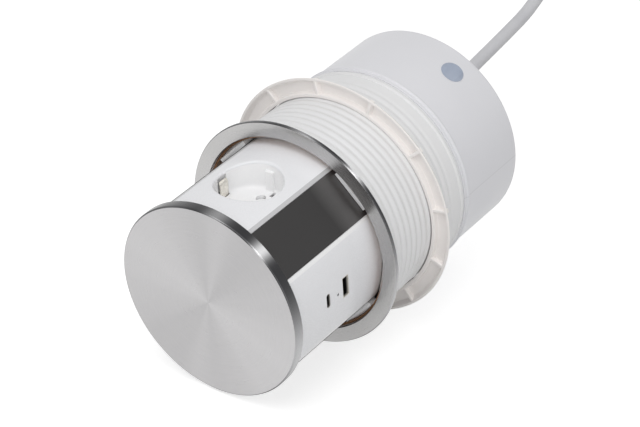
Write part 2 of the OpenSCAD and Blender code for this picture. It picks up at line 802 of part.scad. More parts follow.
// One strip of sheet: two clips in the well, joined behind its floor
module earth_strap(angle) {
    color("silver") in_socket(angle) {
        for (s = [-1, 1]) translate([s * (strap_out - strap_t / 2), 0, 0])
            block(strap_t, clip_w, -strap_bar - strap_t, -strap_front);
        difference() {
            block(2 * strap_out, clip_w, -strap_bar - strap_t, -strap_bar);
            disc(pivot_d / 2 + press_gap, -strap_back, 0);
        }
    }
}

module socket_carrier(angle) {
    color("gainsboro") in_socket(angle) {
        difference() {
            disc(carrier_r, -carrier_front - carrier_h, -carrier_front);
            disc(carrier_r - 1.1, -pocket_back, 0);
            block(4 * carrier_r, clip_w + 0.8, -strap_back, 0);
            at_pins() disc(sleeve_d / 2 + face_gap, -carrier_front - carrier_h + carrier_end, 0);
        }
        disc(pivot_d / 2, -strap_back - eps, -shutter_front);
    }
}

module contact_sleeves(angle) {
    color("goldenrod") in_socket(angle) at_pins()
        washer(sleeve_d / 2, sleeve_bore_d / 2, -carrier_front - carrier_h + carrier_end, -sleeve_front);
}

// Turning disc that covers the pin holes until a plug turns it aside
module shutter(angle) {
    color("white") in_socket(angle) difference() {
        disc(shutter_r, -shutter_front - shutter_t, -shutter_front);
        disc(pivot_d / 2 + pivot_gap, -shutter_front - shutter_t - 1, 0);
        rotate([0, 0, -shutter_swing]) at_pins()
            disc(sleeve_d / 2, -shutter_front - shutter_t - 1, 0);
    }
}

// USB side
module stadium(w, h, low, high) {
    for (s = [-1, 1]) translate([0, s * (w - h) / 2, 0]) disc(h / 2, low, high);
    block(h, w - h, low, high);
}

module at_board_screws() {
    for (sx = [-1, 1]) for (sy = [-1, 1])
        translate([sx * (board_h / 2 - 3.5), sy * (board_w / 2 - 3.5), 0]) children();
}

board_z = (usb_a_z + usb_c_z) / 2;
board_front = plate_t / 2 + port_depth;
boss_r = 2.6;

module usb_plate() {
    color("white") difference() {
        union() {
            face_plate(usb_side);
            on_face(usb_side, usb_shift, board_z) at_board_screws()
                disc(boss_r, -board_front + face_gap, -plate_t);
        }
        on_face(usb_side, usb_shift, board_z) at_board_screws()
            disc(small_screw_r + face_gap, -board_front - 1, -board_front + 7);
        on_face(usb_side, usb_shift, usb_a_z)
            block(usb_a_h + 2 * press_gap, usb_a_w + 2 * press_gap, -plate_t - 1, 1);
        on_face(usb_side, usb_shift, usb_c_z)
            stadium(usb_c_w + 2 * press_gap, usb_c_h + 2 * press_gap, -plate_t - 1, 1);
        on_face(usb_side, usb_shift + led_shift, led_z) disc(led_d / 2 + press_gap, -plate_t - 1, 1);
    }
}

module usb_board() {
    color("darkgreen") on_face(usb_side, usb_shift, board_z) difference() {
        block(board_h, board_w, -board_front - board_t, -board_front);
        at_board_screws() disc(small_screw_r + press_gap, -board_front - board_t - 1, 0);
    }
}

module usb_transformer() {
    tall = 20;
    wide = 17;
    deep = 13;
    color("goldenrod") on_face(usb_side, usb_shift, board_z)
        block(tall, wide, -board_front - board_t - deep, -board_front - board_t);
}

module usb_screws() {
    color("silver") on_face(usb_side, usb_shift, board_z) at_board_screws()
        translate([0, 0, -board_front - board_t]) screw(board_t + 6, small_screw_r, small_head_r, small_head_h);
}

port_in = 0.3;

module usb_a_shell() {
    color("silver") on_face(usb_side, usb_shift, usb_a_z) difference() {
        block(usb_a_h, usb_a_w, -board_front, -port_in);
        block(usb_a_h - 2 * shell_wall, usb_a_w - 2 * shell_wall, -board_front + 0.8, 1);
    }
}

module usb_a_tongue() {
    tongue_h = 1.9;
    color("black") on_face(usb_side, usb_shift, usb_a_z)
        translate([-usb_a_h / 2 + shell_wall + tongue_h / 2 + 0.5, 0, 0])
            block(tongue_h, usb_a_w - 2 * shell_wall - 1, -board_front + 0.8, -4);
}

module usb_c_shell() {
    color("silver") on_face(usb_side, usb_shift, usb_c_z) difference() {
        stadium(usb_c_w, usb_c_h, -board_front, -port_in);
        stadium(usb_c_w - 2 * shell_wall, usb_c_h - 2 * shell_wall, -board_front + 0.8, 1);
    }
}

module usb_c_tongue() {
    color("black") on_face(usb_side, usb_shift, usb_c_z)
        block(0.7, usb_c_w - 2.4, -board_front + 0.8, -2.5);
}

module led_pipe() {
    color("aliceblue") on_face(usb_side, usb_shift + led_shift, led_z) disc(led_d / 2, -board_front, -port_in);
}

desk_ring();
threaded_sleeve();
guide_collar();
felt_ring();
lower_housing();
label_disc();
main_spring();
touch_latch();
inner_lead();
cord_clamp();
clamp_screws();
cord_gland();
cord_lead();
cord_coil();
cord_tie();
plug_body();
plug_pins();
plug_earth_strip();
latch_plunger();
ring_nut();
lid_plate();
lid_core();
lid_screws();
column_frame();
column_foot();
foot_screws();
latch_strike();
terminal_block();
terminal_screws();
corner_panel(usb_side);  // corner_panel_fr
corner_panel(front);  // corner_panel_fl
corner_panel(left);  // corner_panel_bl
corner_panel(back);  // corner_panel_br
socket_face(front);  // socket_front
socket_face(back);  // socket_back
socket_face(left);  // socket_left
earth_strap(front);  // earth_strap_front
earth_strap(back);  // earth_strap_back
earth_strap(left);  // earth_strap_left
socket_carrier(front);  // socket_carrier_front
socket_carrier(back);  // socket_carrier_back
socket_carrier(left);  // socket_carrier_left
contact_sleeves(front);  // contact_sleeves_front
contact_sleeves(back);  // contact_sleeves_back
contact_sleeves(left);  // contact_sleeves_left
shutter(front);  // shutter_front
shutter(back);  // shutter_back
shutter(left);  // shutter_left
usb_plate();
usb_board();
usb_transformer();
usb_screws();
usb_a_shell();
usb_a_tongue();
usb_c_shell();
usb_c_tongue();
led_pipe();
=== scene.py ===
import bpy
import bmesh
import math
from mathutils import Matrix, Vector


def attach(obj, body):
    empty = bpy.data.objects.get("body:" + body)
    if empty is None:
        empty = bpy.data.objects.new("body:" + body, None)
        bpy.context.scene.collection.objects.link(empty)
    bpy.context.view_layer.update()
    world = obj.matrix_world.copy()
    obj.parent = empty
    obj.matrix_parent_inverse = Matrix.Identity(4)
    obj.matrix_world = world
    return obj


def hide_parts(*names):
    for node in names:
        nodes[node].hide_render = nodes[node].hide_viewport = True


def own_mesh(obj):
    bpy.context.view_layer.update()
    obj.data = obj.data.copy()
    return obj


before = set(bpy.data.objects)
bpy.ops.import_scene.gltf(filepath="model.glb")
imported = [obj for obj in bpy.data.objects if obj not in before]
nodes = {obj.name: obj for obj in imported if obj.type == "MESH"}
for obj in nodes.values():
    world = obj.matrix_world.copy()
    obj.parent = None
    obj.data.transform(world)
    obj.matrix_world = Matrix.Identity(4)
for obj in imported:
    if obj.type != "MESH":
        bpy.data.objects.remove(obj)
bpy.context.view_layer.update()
scene = bpy.context.scene
scene.view_settings.view_transform = "Standard"
mm = 0.001
print("frame loaded with", len(nodes), "nodes")


def addObject(name, data):
    obj = bpy.data.objects.new(name, data)
    scene.collection.objects.link(obj)
    return obj


# camera, fitted to the photograph's edges
cameraSpec = {
    "place": (0.7824, -0.7383, 0.9245),
    "right": (-0.0583, -0.8107, -0.5826),
    "up": (0.8358, 0.2795, -0.4725),
    "lens": 139.74, "sensor": 36, "near": 0.05, "far": 30,
}


def makeCamera(spec):
    right = Vector(spec["right"]).normalized()
    back = right.cross(Vector(spec["up"])).normalized()
    up = back.cross(right)
    data = bpy.data.cameras.new("photoCamera")
    data.sensor_fit = "HORIZONTAL"
    data.sensor_width = spec["sensor"]
    data.lens = spec["lens"]
    data.clip_start = spec["near"]
    data.clip_end = spec["far"]
    cam = addObject("photoCamera", data)
    turn = Matrix((right, up, back)).transposed().to_4x4()
    cam.matrix_world = Matrix.Translation(spec["place"]) @ turn
    scene.camera = cam


makeCamera(cameraSpec)


# material helpers
noiseRange = (0.3, 0.7)  # where most of a noise lies
fineShare, cloudShare = 0.6, 0.4
steelGrain, plasticGrain, feltGrain = 0.00004, 0.00003, 0.0002  # depths in metres


def addNode(tree, kind, props=None, ins=None):
    node = tree.nodes.new(kind)
    for key, value in (props or {}).items():
        setattr(node, key, value)
    for key, value in (ins or {}).items():
        if isinstance(value, bpy.types.NodeSocket):
            tree.links.new(value, node.inputs[key])
        else:
            node.inputs[key].default_value = value
    return node


def startMaterial(name, spec, metal=0.0):
    mat = bpy.data.materials.new(name)
    mat.use_nodes = True
    tree = mat.node_tree
    shader = tree.nodes["Principled BSDF"]
    shader.inputs["Base Color"].default_value = (*spec["light"], 1)
    shader.inputs["Roughness"].default_value = spec["rough"]
    shader.inputs["Metallic"].default_value = metal
    return mat, tree, shader


def mathNode(tree, kind, a, b=0.0):
    return addNode(tree, "ShaderNodeMath", {"operation": kind}, {0: a, 1: b}).outputs[0]


def times(tree, a, b):
    return mathNode(tree, "MULTIPLY", a, b)


def weighted(tree, a, shareA, b, shareB):
    return mathNode(tree, "ADD", times(tree, a, shareA), times(tree, b, shareB))


def mapRange(tree, value, low, high, newLow, newHigh):
    node = addNode(tree, "ShaderNodeMapRange", {"clamp": True},
                   {"Value": value, "From Min": low, "From Max": high, "To Min": newLow, "To Max": newHigh})
    return node.outputs["Result"]


def spread(tree, value, low=0.0, high=1.0):
    return mapRange(tree, value, *noiseRange, low, high)


def mixColour(tree, factor, a, b):
    return addNode(tree, "ShaderNodeMix", {"data_type": "RGBA"}, {0: factor, 6: a, 7: b}).outputs[2]


def tint(tree, factor, spec):
    return mixColour(tree, factor, (*spec["dark"], 1), (*spec["light"], 1))


def objectCoords(tree):
    return addNode(tree, "ShaderNodeTexCoord").outputs["Object"]


def axesOf(tree, vector):
    return addNode(tree, "ShaderNodeSeparateXYZ", None, {0: vector}).outputs


def combined(tree, x, y, z):
    return addNode(tree, "ShaderNodeCombineXYZ", None, {0: x, 1: y, 2: z}).outputs[0]


def scaled(tree, vector, size):
    return addNode(tree, "ShaderNodeMapping", None, {"Vector": vector, "Scale": size}).outputs["Vector"]


def noise(tree, vector, scale, detail):
    return addNode(tree, "ShaderNodeTexNoise", None,
                   {"Vector": vector, "Scale": scale, "Detail": detail}).outputs["Fac"]


def surface(tree, shader, colour, value, rough, less, more):
    tree.links.new(colour, shader.inputs["Base Color"])
    tree.links.new(spread(tree, value, rough - less, rough + more), shader.inputs["Roughness"])


def bump(tree, shader, height, strength, depth):
    node = addNode(tree, "ShaderNodeBump", None, {"Height": height, "Strength": strength, "Distance": depth})
    tree.links.new(node.outputs["Normal"], shader.inputs["Normal"])


# a colour that is stronger or weaker along one axis: used for painted light and painted shade
def faded(tree, where, colour, axis, low, high, atLow, atHigh):
    share = mapRange(tree, axesOf(tree, where)[axis], low, high, atLow, atHigh)
    return addNode(tree, "ShaderNodeVectorMath", {"operation": "SCALE"}, {0: colour, "Scale": share}).outputs[0]


# steel turned on a lathe: fine rings round the axis in its colour, fans of painted radial highlight streaks by angle,
# and sheens that are painted highlights and reflections, lobes of lighter colour by angle, each (angle, sharpness,
# share)
def turnedSteel(name, spec):
    mat, tree, shader = startMaterial(name, spec, 1.0)
    hub = 0.0004
    x, y, z = axesOf(tree, objectCoords(tree))
    radius = mathNode(tree, "SQRT", weighted(tree, x, x, y, y))
    safe = mathNode(tree, "MAXIMUM", radius, hub)
    cosA, sinA = mathNode(tree, "DIVIDE", x, safe), mathNode(tree, "DIVIDE", y, safe)
    across = mathNode(tree, "ADD", radius, z)
    rings = combined(tree, times(tree, cosA, spec["arc"]), times(tree, sinA, spec["arc"]),
                     times(tree, across, spec["fine"]))
    lines = noise(tree, rings, 1.0, 4.0)
    # fans: noise by angle, painted radial highlight streaks
    fans = noise(tree, combined(tree, cosA, sinA, 0.0), spec["fan"], 2.0)
    factor = weighted(tree, lines, spec["lineShare"], fans, spec["fanShare"])
    # each sheen adds a lobe of painted highlight and reflection round the axis
    for at, sharp, share in spec["paintedSheens"]:
        lobe = mathNode(tree, "ABSOLUTE", weighted(tree, cosA, math.cos(at), sinA, math.sin(at)))
        lobe = mathNode(tree, "POWER", lobe, sharp)
        factor = mathNode(tree, "ADD", factor, times(tree, lobe, share))
    surface(tree, shader, tint(tree, factor, spec), lines, spec["rough"], 0.05, 0.06)
    shader.inputs["Anisotropic"].default_value = spec["stretch"]
    tangent = addNode(tree, "ShaderNodeTangent", {"direction_type": "RADIAL", "axis": "Z"})
    tree.links.new(tangent.outputs[0], shader.inputs["Tangent"])
    bump(tree, shader, lines, 0.12, steelGrain)
    return mat


# sheet steel brushed along one direction
def brushedSheet(name, spec):
    mat, tree, shader = startMaterial(name, spec, spec.get("metal", 1.0))
    where = objectCoords(tree)
    lines = noise(tree, scaled(tree, where, spec["grain"]), 1.0, 4.0)
    cloud = noise(tree, where, 26.0, 2.0)
    colour = tint(tree, spread(tree, weighted(tree, lines, fineShare, cloud, cloudShare)), spec)
    # an optional fade: painted light and shade along one axis
    if "fade" in spec:
        colour = faded(tree, where, colour, **spec["fade"])
    surface(tree, shader, colour, lines, spec["rough"], 0.04, 0.06)
    bump(tree, shader, lines, spec.get("bump", 0.1), steelGrain)
    return mat


# moulded plastic: a fine spark-eroded grain and a faint cloud in the colour
def mouldedPlastic(name, spec):
    mat, tree, shader = startMaterial(name, spec)
    where = objectCoords(tree)
    grain = noise(tree, where, spec["grain"], 2.0)
    cloud = noise(tree, where, spec["cloud"], 3.0)
    colour = tint(tree, spread(tree, cloud), spec)
    # an optional fade: painted light and shade along one axis
    if "fade" in spec:
        colour = faded(tree, where, colour, **spec["fade"])
    if "seam" in spec:
        # a mould's parting line, where the body crosses the YZ plane
        aside = mathNode(tree, "ABSOLUTE", axesOf(tree, where)[0])
        beside = mapRange(tree, aside, *spec["seamEdge"], 0.0, 1.0)
        colour = mixColour(tree, beside, (*spec["seam"], 1), colour)
    surface(tree, shader, colour, grain, spec["rough"], 0.04, 0.05)
    bump(tree, shader, grain, spec["bump"], plasticGrain)
    return mat


# felt and other fibres
def fibreCloth(name, spec):
    mat, tree, shader = startMaterial(name, spec)
    where = objectCoords(tree)
    fuzz = noise(tree, where, spec["fuzz"], 5.0)
    cloud = noise(tree, where, spec["cloud"], 3.0)
    colour = tint(tree, spread(tree, weighted(tree, fuzz, fineShare, cloud, cloudShare)), spec)
    tree.links.new(colour, shader.inputs["Base Color"])
    bump(tree, shader, fuzz, spec["bump"], feltGrain)
    shader.inputs["Sheen Weight"].default_value = spec["sheen"]
    return mat


# lid: painted highlights in its colour, a broad lobe and a narrow radial streak
lidSteel = turnedSteel("turnedLidSteel", {
    "light": (0.572, 0.565, 0.57), "dark": (0.37, 0.365, 0.369), "rough": 0.32, "arc": 3.0, "fine": 1600.0,
    "fan": 3.0, "lineShare": 0.4, "fanShare": 0.18, "paintedSheens": ((1.08, 2.0, 0.4), (-0.255, 60.0, 0.2)),
    "stretch": 0.75})
# rim steel: nearly black with narrow bright lobes, its colour is painted reflection of dark and bright surroundings
rimSteel = turnedSteel("polishedRimSteel", {
    "light": (0.8, 0.8, 0.81), "dark": (0.02, 0.02, 0.022), "rough": 0.22, "arc": 2.0, "fine": 14000.0,
    "fan": 1.6, "lineShare": 0.03, "fanShare": 0.03,
    "paintedSheens": ((-0.7, 300.0, 0.9), (-1.83, 10.0, 0.45), (0.4, 30.0, 0.1), (-0.17, 150.0, 0.3)),
    "stretch": 0.5})
# ring: a broad painted sheen, a lobe of lighter colour by angle standing for reflection
ringSteel = turnedSteel("turnedRingSteel", {
    "light": (0.71, 0.703, 0.703), "dark": (0.41, 0.405, 0.402), "rough": 0.26, "arc": 5.0, "fine": 11000.0,
    "fan": 2.0, "lineShare": 0.12, "fanShare": 0.25, "paintedSheens": ((-0.9, 1.0, 0.15),),
    "stretch": 0.7})
# corner panels: near-black colour as painted reflection of dark surroundings, and painted light up to 3.3 times lighter
# towards the ring end, over the lowest 22 mm
panelSteel = brushedSheet("panelSteelPaintedReflection", {
    "light": (0.063, 0.0615, 0.0615), "dark": (0.056, 0.0545, 0.0545), "rough": 0.46, "grain": (2600, 2600, 45),
    "bump": 0.02, "fade": {"axis": 2, "low": 0.0, "high": 0.022, "atLow": 3.3, "atHigh": 1.0}})
evenGrain = (900, 900, 900)
clipSteel = brushedSheet("clipSteel", {
    "light": (0.9, 0.87, 0.8), "dark": (0.74, 0.71, 0.645), "rough": 0.24, "grain": evenGrain})
brass = brushedSheet("contactBrass", {
    "light": (0.78, 0.58, 0.28), "dark": (0.6, 0.42, 0.18), "rough": 0.28, "grain": evenGrain})
# the ports' shells are painted darker inwards: painted shade deeper in the openings
portSpec = {"light": (0.8, 0.77, 0.7), "dark": (0.66, 0.63, 0.57), "rough": 0.34, "grain": evenGrain, "metal": 0.25}
largePortSteel = brushedSheet("largePortSteel", {
    **portSpec, "fade": {"axis": 1, "low": -0.0555, "high": -0.0543, "atLow": 1.0, "atHigh": 0.01}})
smallPortSteel = brushedSheet("smallPortSteel", {
    **portSpec, "fade": {"axis": 1, "low": -0.056, "high": -0.055, "atLow": 0.5, "atHigh": 0.01}})
matt = {"rough": 0.36, "grain": 2600, "cloud": 22, "bump": 0.08}
glossy = {"rough": 0.26, "grain": 3200, "cloud": 18, "bump": 0.04}
coarse = {"rough": 0.42, "grain": 2400, "cloud": 30, "bump": 0.1}
whitePlastic = mouldedPlastic("whiteMoulding", {
    **matt, "light": (0.78, 0.78, 0.79), "dark": (0.755, 0.755, 0.767)})
# a darker copy of the white plastic for the socket plates' chamfers: painted shade
shadedEdgePlastic = mouldedPlastic("plateEdgePaintedShade", {
    **matt, "light": (0.575, 0.575, 0.585), "dark": (0.56, 0.56, 0.57)})
sleevePlastic = mouldedPlastic("sleeveMoulding", {
    **matt, "light": (0.815, 0.815, 0.82), "dark": (0.79, 0.79, 0.795), "rough": 0.4})
housingPlastic = mouldedPlastic("housingMoulding", {
    **matt, "light": (0.775, 0.775, 0.803), "dark": (0.75, 0.75, 0.78), "seam": (0.69, 0.69, 0.715),
    "seamEdge": (0.0002, 0.0005)})
# face plates: up to 1.15 times lighter towards their lower ends by the ring, below 20 mm up: painted light against the
# ring's shade
facePlastic = mouldedPlastic("whiteFacePlate", {
    **glossy, "light": (0.845, 0.848, 0.868), "dark": (0.822, 0.825, 0.846),
    "fade": {"axis": 2, "low": 0.002, "high": 0.02, "atLow": 1.15, "atHigh": 1.0}})
# a lighter copy of the white plastic: painted light in the wells, on the guide collar and shutters down in shade, and
# painted highlight on the USB plate's chamfers
paintedLightPlastic = mouldedPlastic("whiteWellPaintedLight", {
    **glossy, "light": (0.94, 0.94, 0.945), "dark": (0.92, 0.92, 0.926)})
nutPlastic = mouldedPlastic("creamMoulding", {
    **coarse, "light": (0.915, 0.88, 0.858), "dark": (0.89, 0.856, 0.834), "grain": 2200})
greyPlastic = mouldedPlastic("greyMoulding", {
    **coarse, "light": (0.5, 0.5, 0.5), "dark": (0.44, 0.44, 0.44), "rough": 0.5})
blackPlastic = mouldedPlastic("blackMoulding", {
    **coarse, "light": (0.03, 0.03, 0.032), "dark": (0.016, 0.016, 0.017), "cloud": 60})
sheath = mouldedPlastic("cordSheath", {
    **coarse, "light": (0.66, 0.66, 0.68), "dark": (0.6, 0.6, 0.625), "rough": 0.5, "grain": 1800, "cloud": 40})
labelFilm = mouldedPlastic("labelFilm", {
    **matt, "light": (0.4, 0.45, 0.55), "dark": (0.34, 0.39, 0.49), "rough": 0.4, "cloud": 160, "bump": 0.05})
boardGreen = mouldedPlastic("boardLacquer", {
    **matt, "light": (0.04, 0.2, 0.09), "dark": (0.02, 0.13, 0.06), "rough": 0.3, "cloud": 300, "bump": 0.1})
lightPipe = mouldedPlastic("clearPipe", {
    **matt, "light": (0.035, 0.035, 0.04), "dark": (0.02, 0.02, 0.025), "rough": 0.15, "cloud": 300, "bump": 0.02})
felt = fibreCloth("brownFelt", {
    "light": (0.38, 0.19, 0.085), "dark": (0.18, 0.085, 0.035), "rough": 0.95, "fuzz": 2600.0, "cloud": 240.0,
    "bump": 0.6, "sheen": 0.3})
print("materials made")


# mesh helpers; shapes are given in millimetres
def meshFrom(name, points, faces):
    mesh = bpy.data.meshes.new(name)
    mesh.from_pydata([tuple(c * mm for c in p) for p in points], [], faces)
    mesh.update()
    return mesh


def outward(mesh):
    bm = bmesh.new()
    bm.from_mesh(mesh)
    bmesh.ops.remove_doubles(bm, verts=bm.verts, dist=1e-7)
    bmesh.ops.recalc_face_normals(bm, faces=bm.faces)
    bm.to_mesh(mesh)
    bm.free()


def shade(mesh, angle=32):
    for face in mesh.polygons:
        face.use_smooth = True
    mesh.set_sharp_from_angle(angle=math.radians(angle))


# a piece's modifiers become its mesh
def applyAll(obj):
    graph = bpy.context.evaluated_depsgraph_get()
    mesh = bpy.data.meshes.new_from_object(obj.evaluated_get(graph))
    obj.modifiers.clear()
    old = obj.data
    obj.data = mesh
    mesh.name = old.name


def paint(obj, *mats):
    obj.data.materials.clear()
    for mat in mats:
        obj.data.materials.append(mat)


def place(obj, body, stands=(), mat=None):
    if mat:
        paint(obj, mat)
    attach(obj, body)
    if stands:
        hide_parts(*stands)


# corner points with a radius each become arcs
def rounded(corners, steps):
    made = []
    count = len(corners)
    most = 0.49  # of a side, so that two arcs on it stay apart
    for i, (x, y, r) in enumerate(corners):
        p = Vector((x, y))
        if r <= 0:
            made.append((x, y))
            continue
        a = Vector(corners[i - 1][:2]) - p
        b = Vector(corners[(i + 1) % count][:2]) - p
        half = a.angle(b) / 2
        cut = min(r / math.tan(half), a.length * most, b.length * most)
        start, end = p + a.normalized() * cut, p + b.normalized() * cut
        middle = p + (a.normalized() + b.normalized()).normalized() * (cut / math.cos(half))
        v1, v2 = start - middle, end - middle
        sweep = v1.angle_signed(v2)
        for k in range(steps + 1):
            t = -sweep * k / steps
            made.append((middle.x + v1.x * math.cos(t) - v1.y * math.sin(t),
                         middle.y + v1.x * math.sin(t) + v1.y * math.cos(t)))
    return made


# a closed outline of (radius, height) turned about Z; wave may change a radius with the angle
def turned(name, outline, steps, wave=None, at=(0, 0)):
    points, faces = [], []
    count = len(outline)
    onAxis = 1e-6
    for k in range(steps):
        a = 2 * math.pi * k / steps
        for r, z in outline:
            rr = wave(r, z, a) if wave else r
            points.append((at[0] + rr * math.cos(a), at[1] + rr * math.sin(a), z))
    for k in range(steps):
        n = (k + 1) % steps
        for i in range(count):
            j = (i + 1) % count
            if outline[i][0] < onAxis and outline[j][0] < onAxis:
                continue
            faces.append((k * count + i, n * count + i, n * count + j, k * count + j))
    mesh = meshFrom(name, points, faces)
    outward(mesh)
    shade(mesh)
    return addObject(name, mesh)


# a half-round bead on a wall, from below upwards or the other way
def bead(radius, height, size, way):
    sunk = 0.2
    return [(radius - sunk + size * math.cos(a), height + size * math.sin(a))
            for a in [math.radians(way * d) for d in range(-75, 76, 15)]]


# one bending groove in a boot, as corners with their radii
def groove(r, z, depth, wide, step, soft):
    slope, edge = 0.3, 0.3
    return [(r, z, edge), (r - depth, z - slope, soft), (r - depth, z - wide + slope, soft), (r + step, z - wide, edge)]


# a tube along points, with each ring's first side towards its ref
def tubeMesh(name, path, refs, radius, sides):
    points, faces = [], []
    last = len(path) - 1
    for i, p in enumerate(path):
        t = (Vector(path[min(i + 1, last)]) - Vector(path[max(i - 1, 0)])).normalized()
        u = Vector(refs[i])
        u = (u - t * u.dot(t)).normalized()
        v = t.cross(u)
        for k in range(sides):
            a = 2 * math.pi * k / sides
            points.append(tuple(Vector(p) + u * (radius * math.cos(a)) + v * (radius * math.sin(a))))
    for i in range(last):
        for k in range(sides):
            n = (k + 1) % sides
            faces.append((i * sides + k, i * sides + n, (i + 1) * sides + n, (i + 1) * sides + k))
    faces.append(tuple(range(sides))[::-1])
    faces.append(tuple(last * sides + k for k in range(sides)))
    mesh = meshFrom(name, points, faces)
    outward(mesh)
    shade(mesh)
    return addObject(name, mesh)


# a closed ring of points drawn out along one of its own axes, then moved by a matrix
def drawnOut(name, ring, axis, to, matrix):
    bm = bmesh.new()
    face = bm.faces.new([bm.verts.new([c * mm for c in p]) for p in ring])
    made = bmesh.ops.extrude_face_region(bm, geom=[face])
    for v in made["geom"]:
        if isinstance(v, bmesh.types.BMVert):
            v.co[axis] = to * mm
    bmesh.ops.recalc_face_normals(bm, faces=bm.faces)
    bmesh.ops.transform(bm, matrix=matrix, verts=bm.verts)
    mesh = bpy.data.meshes.new(name)
    bm.to_mesh(mesh)
    bm.free()
    return mesh


def prism(name, outline, low, high, matrix):
    return drawnOut(name, [(x, y, low) for x, y in outline], 2, high, matrix)


def cutter(name, outline, low, high, matrix):
    obj = addObject(name, prism(name, outline, low, high, matrix))
    obj.hide_render = True
    return obj


def drill(target, tools, operation="DIFFERENCE"):
    for tool in tools:
        mod = target.modifiers.new("cut", "BOOLEAN")
        mod.operation = operation
        mod.solver = "EXACT"
        mod.object = tool
    applyAll(target)
    for tool in tools:
        bpy.data.objects.remove(tool)


def circleOutline(x, y, r, count=40):
    return [(x + r * math.cos(2 * math.pi * k / count), y + r * math.sin(2 * math.pi * k / count))
            for k in range(count)]


def boxOutline(x0, x1, y0, y1):
    return [(x0, y0), (x1, y0), (x1, y1), (x0, y1)]


def bevelEdges(obj, width, segments, angle):
    mod = obj.modifiers.new("edges", "BEVEL")
    mod.width = width * mm
    mod.segments = segments
    mod.limit_method = "ANGLE"
    mod.angle_limit = math.radians(angle)


# a CAD node's shape with its edges broken by a small bevel
def softEdged(name, node, width, segments=2):
    mesh = nodes[node].data.copy()
    mesh.name = name
    bm = bmesh.new()
    bm.from_mesh(mesh)
    bmesh.ops.remove_doubles(bm, verts=bm.verts, dist=2e-6)
    bmesh.ops.dissolve_limit(bm, angle_limit=math.radians(0.6), verts=bm.verts, edges=bm.edges)
    bm.to_mesh(mesh)
    bm.free()
    obj = addObject(name, mesh)
    bevelEdges(obj, width, segments, 40)
    applyAll(obj)
    shade(obj.data, 35)
    return obj


# cord: down out of the strain relief, past the photograph's edge and into its tied coil
cordSpec = {
    "diameter": 8.5,
    "route": [(-20, 30, -168), (-20, 30, -186), (-19.4, 30, -204), (-17.8, 30, -222), (-15.7, 30, -238),
              (-13.4, 30, -258), (-10.8, 30, -279), (-7.8, 30, -298), (-3.6, 30, -311), (1.5, 30, -325),
              (4, 30.7, -336), (5.8, 33, -347), (7, 36.5, -357.5), (7.7, 41.4, -367.5), (8, 47.6, -377.6),
              (8, 55, -385)],
    "coilRadius": 57.0, "coilAngle": 45.0, "coilTurns": 4.125, "coilPitch": 9.05, "perTurn": 24,
    "tail": 40.0, "alongSteps": 6, "aroundSteps": 5,
}


def coilPath(spec):
    start = Vector(spec["route"][-1])
    a0 = math.radians(spec["coilAngle"])
    start = start + Vector((0, math.sin(a0), -math.cos(a0))) * spec["diameter"]
    middle = start - Vector((0, math.cos(a0), math.sin(a0))) * spec["coilRadius"]
    turns, pitch = spec["coilTurns"], spec["coilPitch"]
    count = round(spec["perTurn"] * turns)
    path = []
    for i in range(count + 1):
        t = turns * i / count
        a = a0 - 2 * math.pi * t
        r = spec["coilRadius"] - pitch * min(t, turns - t)
        s = min(1, max(0, (t - turns / 2) * 2 + 0.5))
        path.append(middle + Vector((pitch * s * s * (3 - 2 * s), r * math.cos(a), r * math.sin(a))))
    end = path[-1]
    path.append(end - Vector((0, 0, spec["diameter"])))
    path.append(end - Vector((0, 0, spec["tail"])))
    return [tuple(p) for p in path]


def makeCord(spec):
    path = spec["route"] + coilPath(spec)
    curve = bpy.data.curves.new("mainsCord", "CURVE")
    curve.dimensions = "3D"
    curve.resolution_u = spec["alongSteps"]
    curve.bevel_depth = spec["diameter"] / 2 * mm
    curve.bevel_resolution = spec["aroundSteps"]
    curve.use_fill_caps = True
    spline = curve.splines.new("BEZIER")
    spline.bezier_points.add(len(path) - 1)
    for point, p in zip(spline.bezier_points, path):
        point.co = [c * mm for c in p]
        point.handle_left_type = point.handle_right_type = "AUTO"
    obj = addObject("mainsCord", curve)
    place(obj, "housing", ("cord_lead", "cord_coil"), sheath)
    length = 0.0
    for p, q in zip(path, path[1:]):
        length += (Vector(q) - Vector(p)).length
    return obj, path, length * mm


cord, cordPath, cordLength = makeCord(cordSpec)
plugAt = cordPath[-1]
print("cord laid,", round(cordLength, 3), "m")


# plug with bending grooves in its boot; pins and earth strips stay as the CAD made them
plugSpec = {"radius": 18.5, "neck": 22.0, "length": 36.0, "grip": 4.0, "boot": 5.25, "bootEnd": 7.2,
            "grooves": 5, "grooveFrom": 2.5, "groovePitch": 3.2, "flare": 0.35}


def makePlug(spec):
    x, y, top = plugAt
    neck = top - spec["neck"]
    face = neck - spec["length"]
    r, g, boot = spec["radius"], spec["grip"], spec["boot"]
    outline = [(0, top, 0), (boot, top, 0.6)]
    for k in range(spec["grooves"]):
        z = top - spec["grooveFrom"] - k * spec["groovePitch"]
        outline += groove(boot + 0.1 + spec["flare"] * k, z, 1.0, 1.8, 0.2, 0.2)
    outline += [(spec["bootEnd"], neck, 0.8), (r - g - 2, neck - 3, 1.5), (r - g, neck - 6, 1.5),
                (r - g, face + 18, 1.2), (r, face + 15, 1.2), (r, face + 1, 0.0), (r - 1, face, 0.4), (0, face, 0)]
    obj = turned("plugBody", rounded(outline, 3), 96, at=(x, y))
    place(obj, "housing", ("plug_body",), sheath)
    return obj


plugBody = makePlug(plugSpec)
for name in ("plug_pins", "plug_earth_strip"):
    paint(nodes[name], clipSteel)
tie = softEdged("cordTie", "cord_tie", 0.5)
place(tie, "housing", ("cord_tie",), blackPlastic)


# lid: a shallow steel pan with a softly broken edge; rings across its flat face keep the shading even
lidSpec = {"radius": 60.0, "low": 74.5, "top": 81.0, "wall": 1.2, "edge": 1.1, "rings": 12}


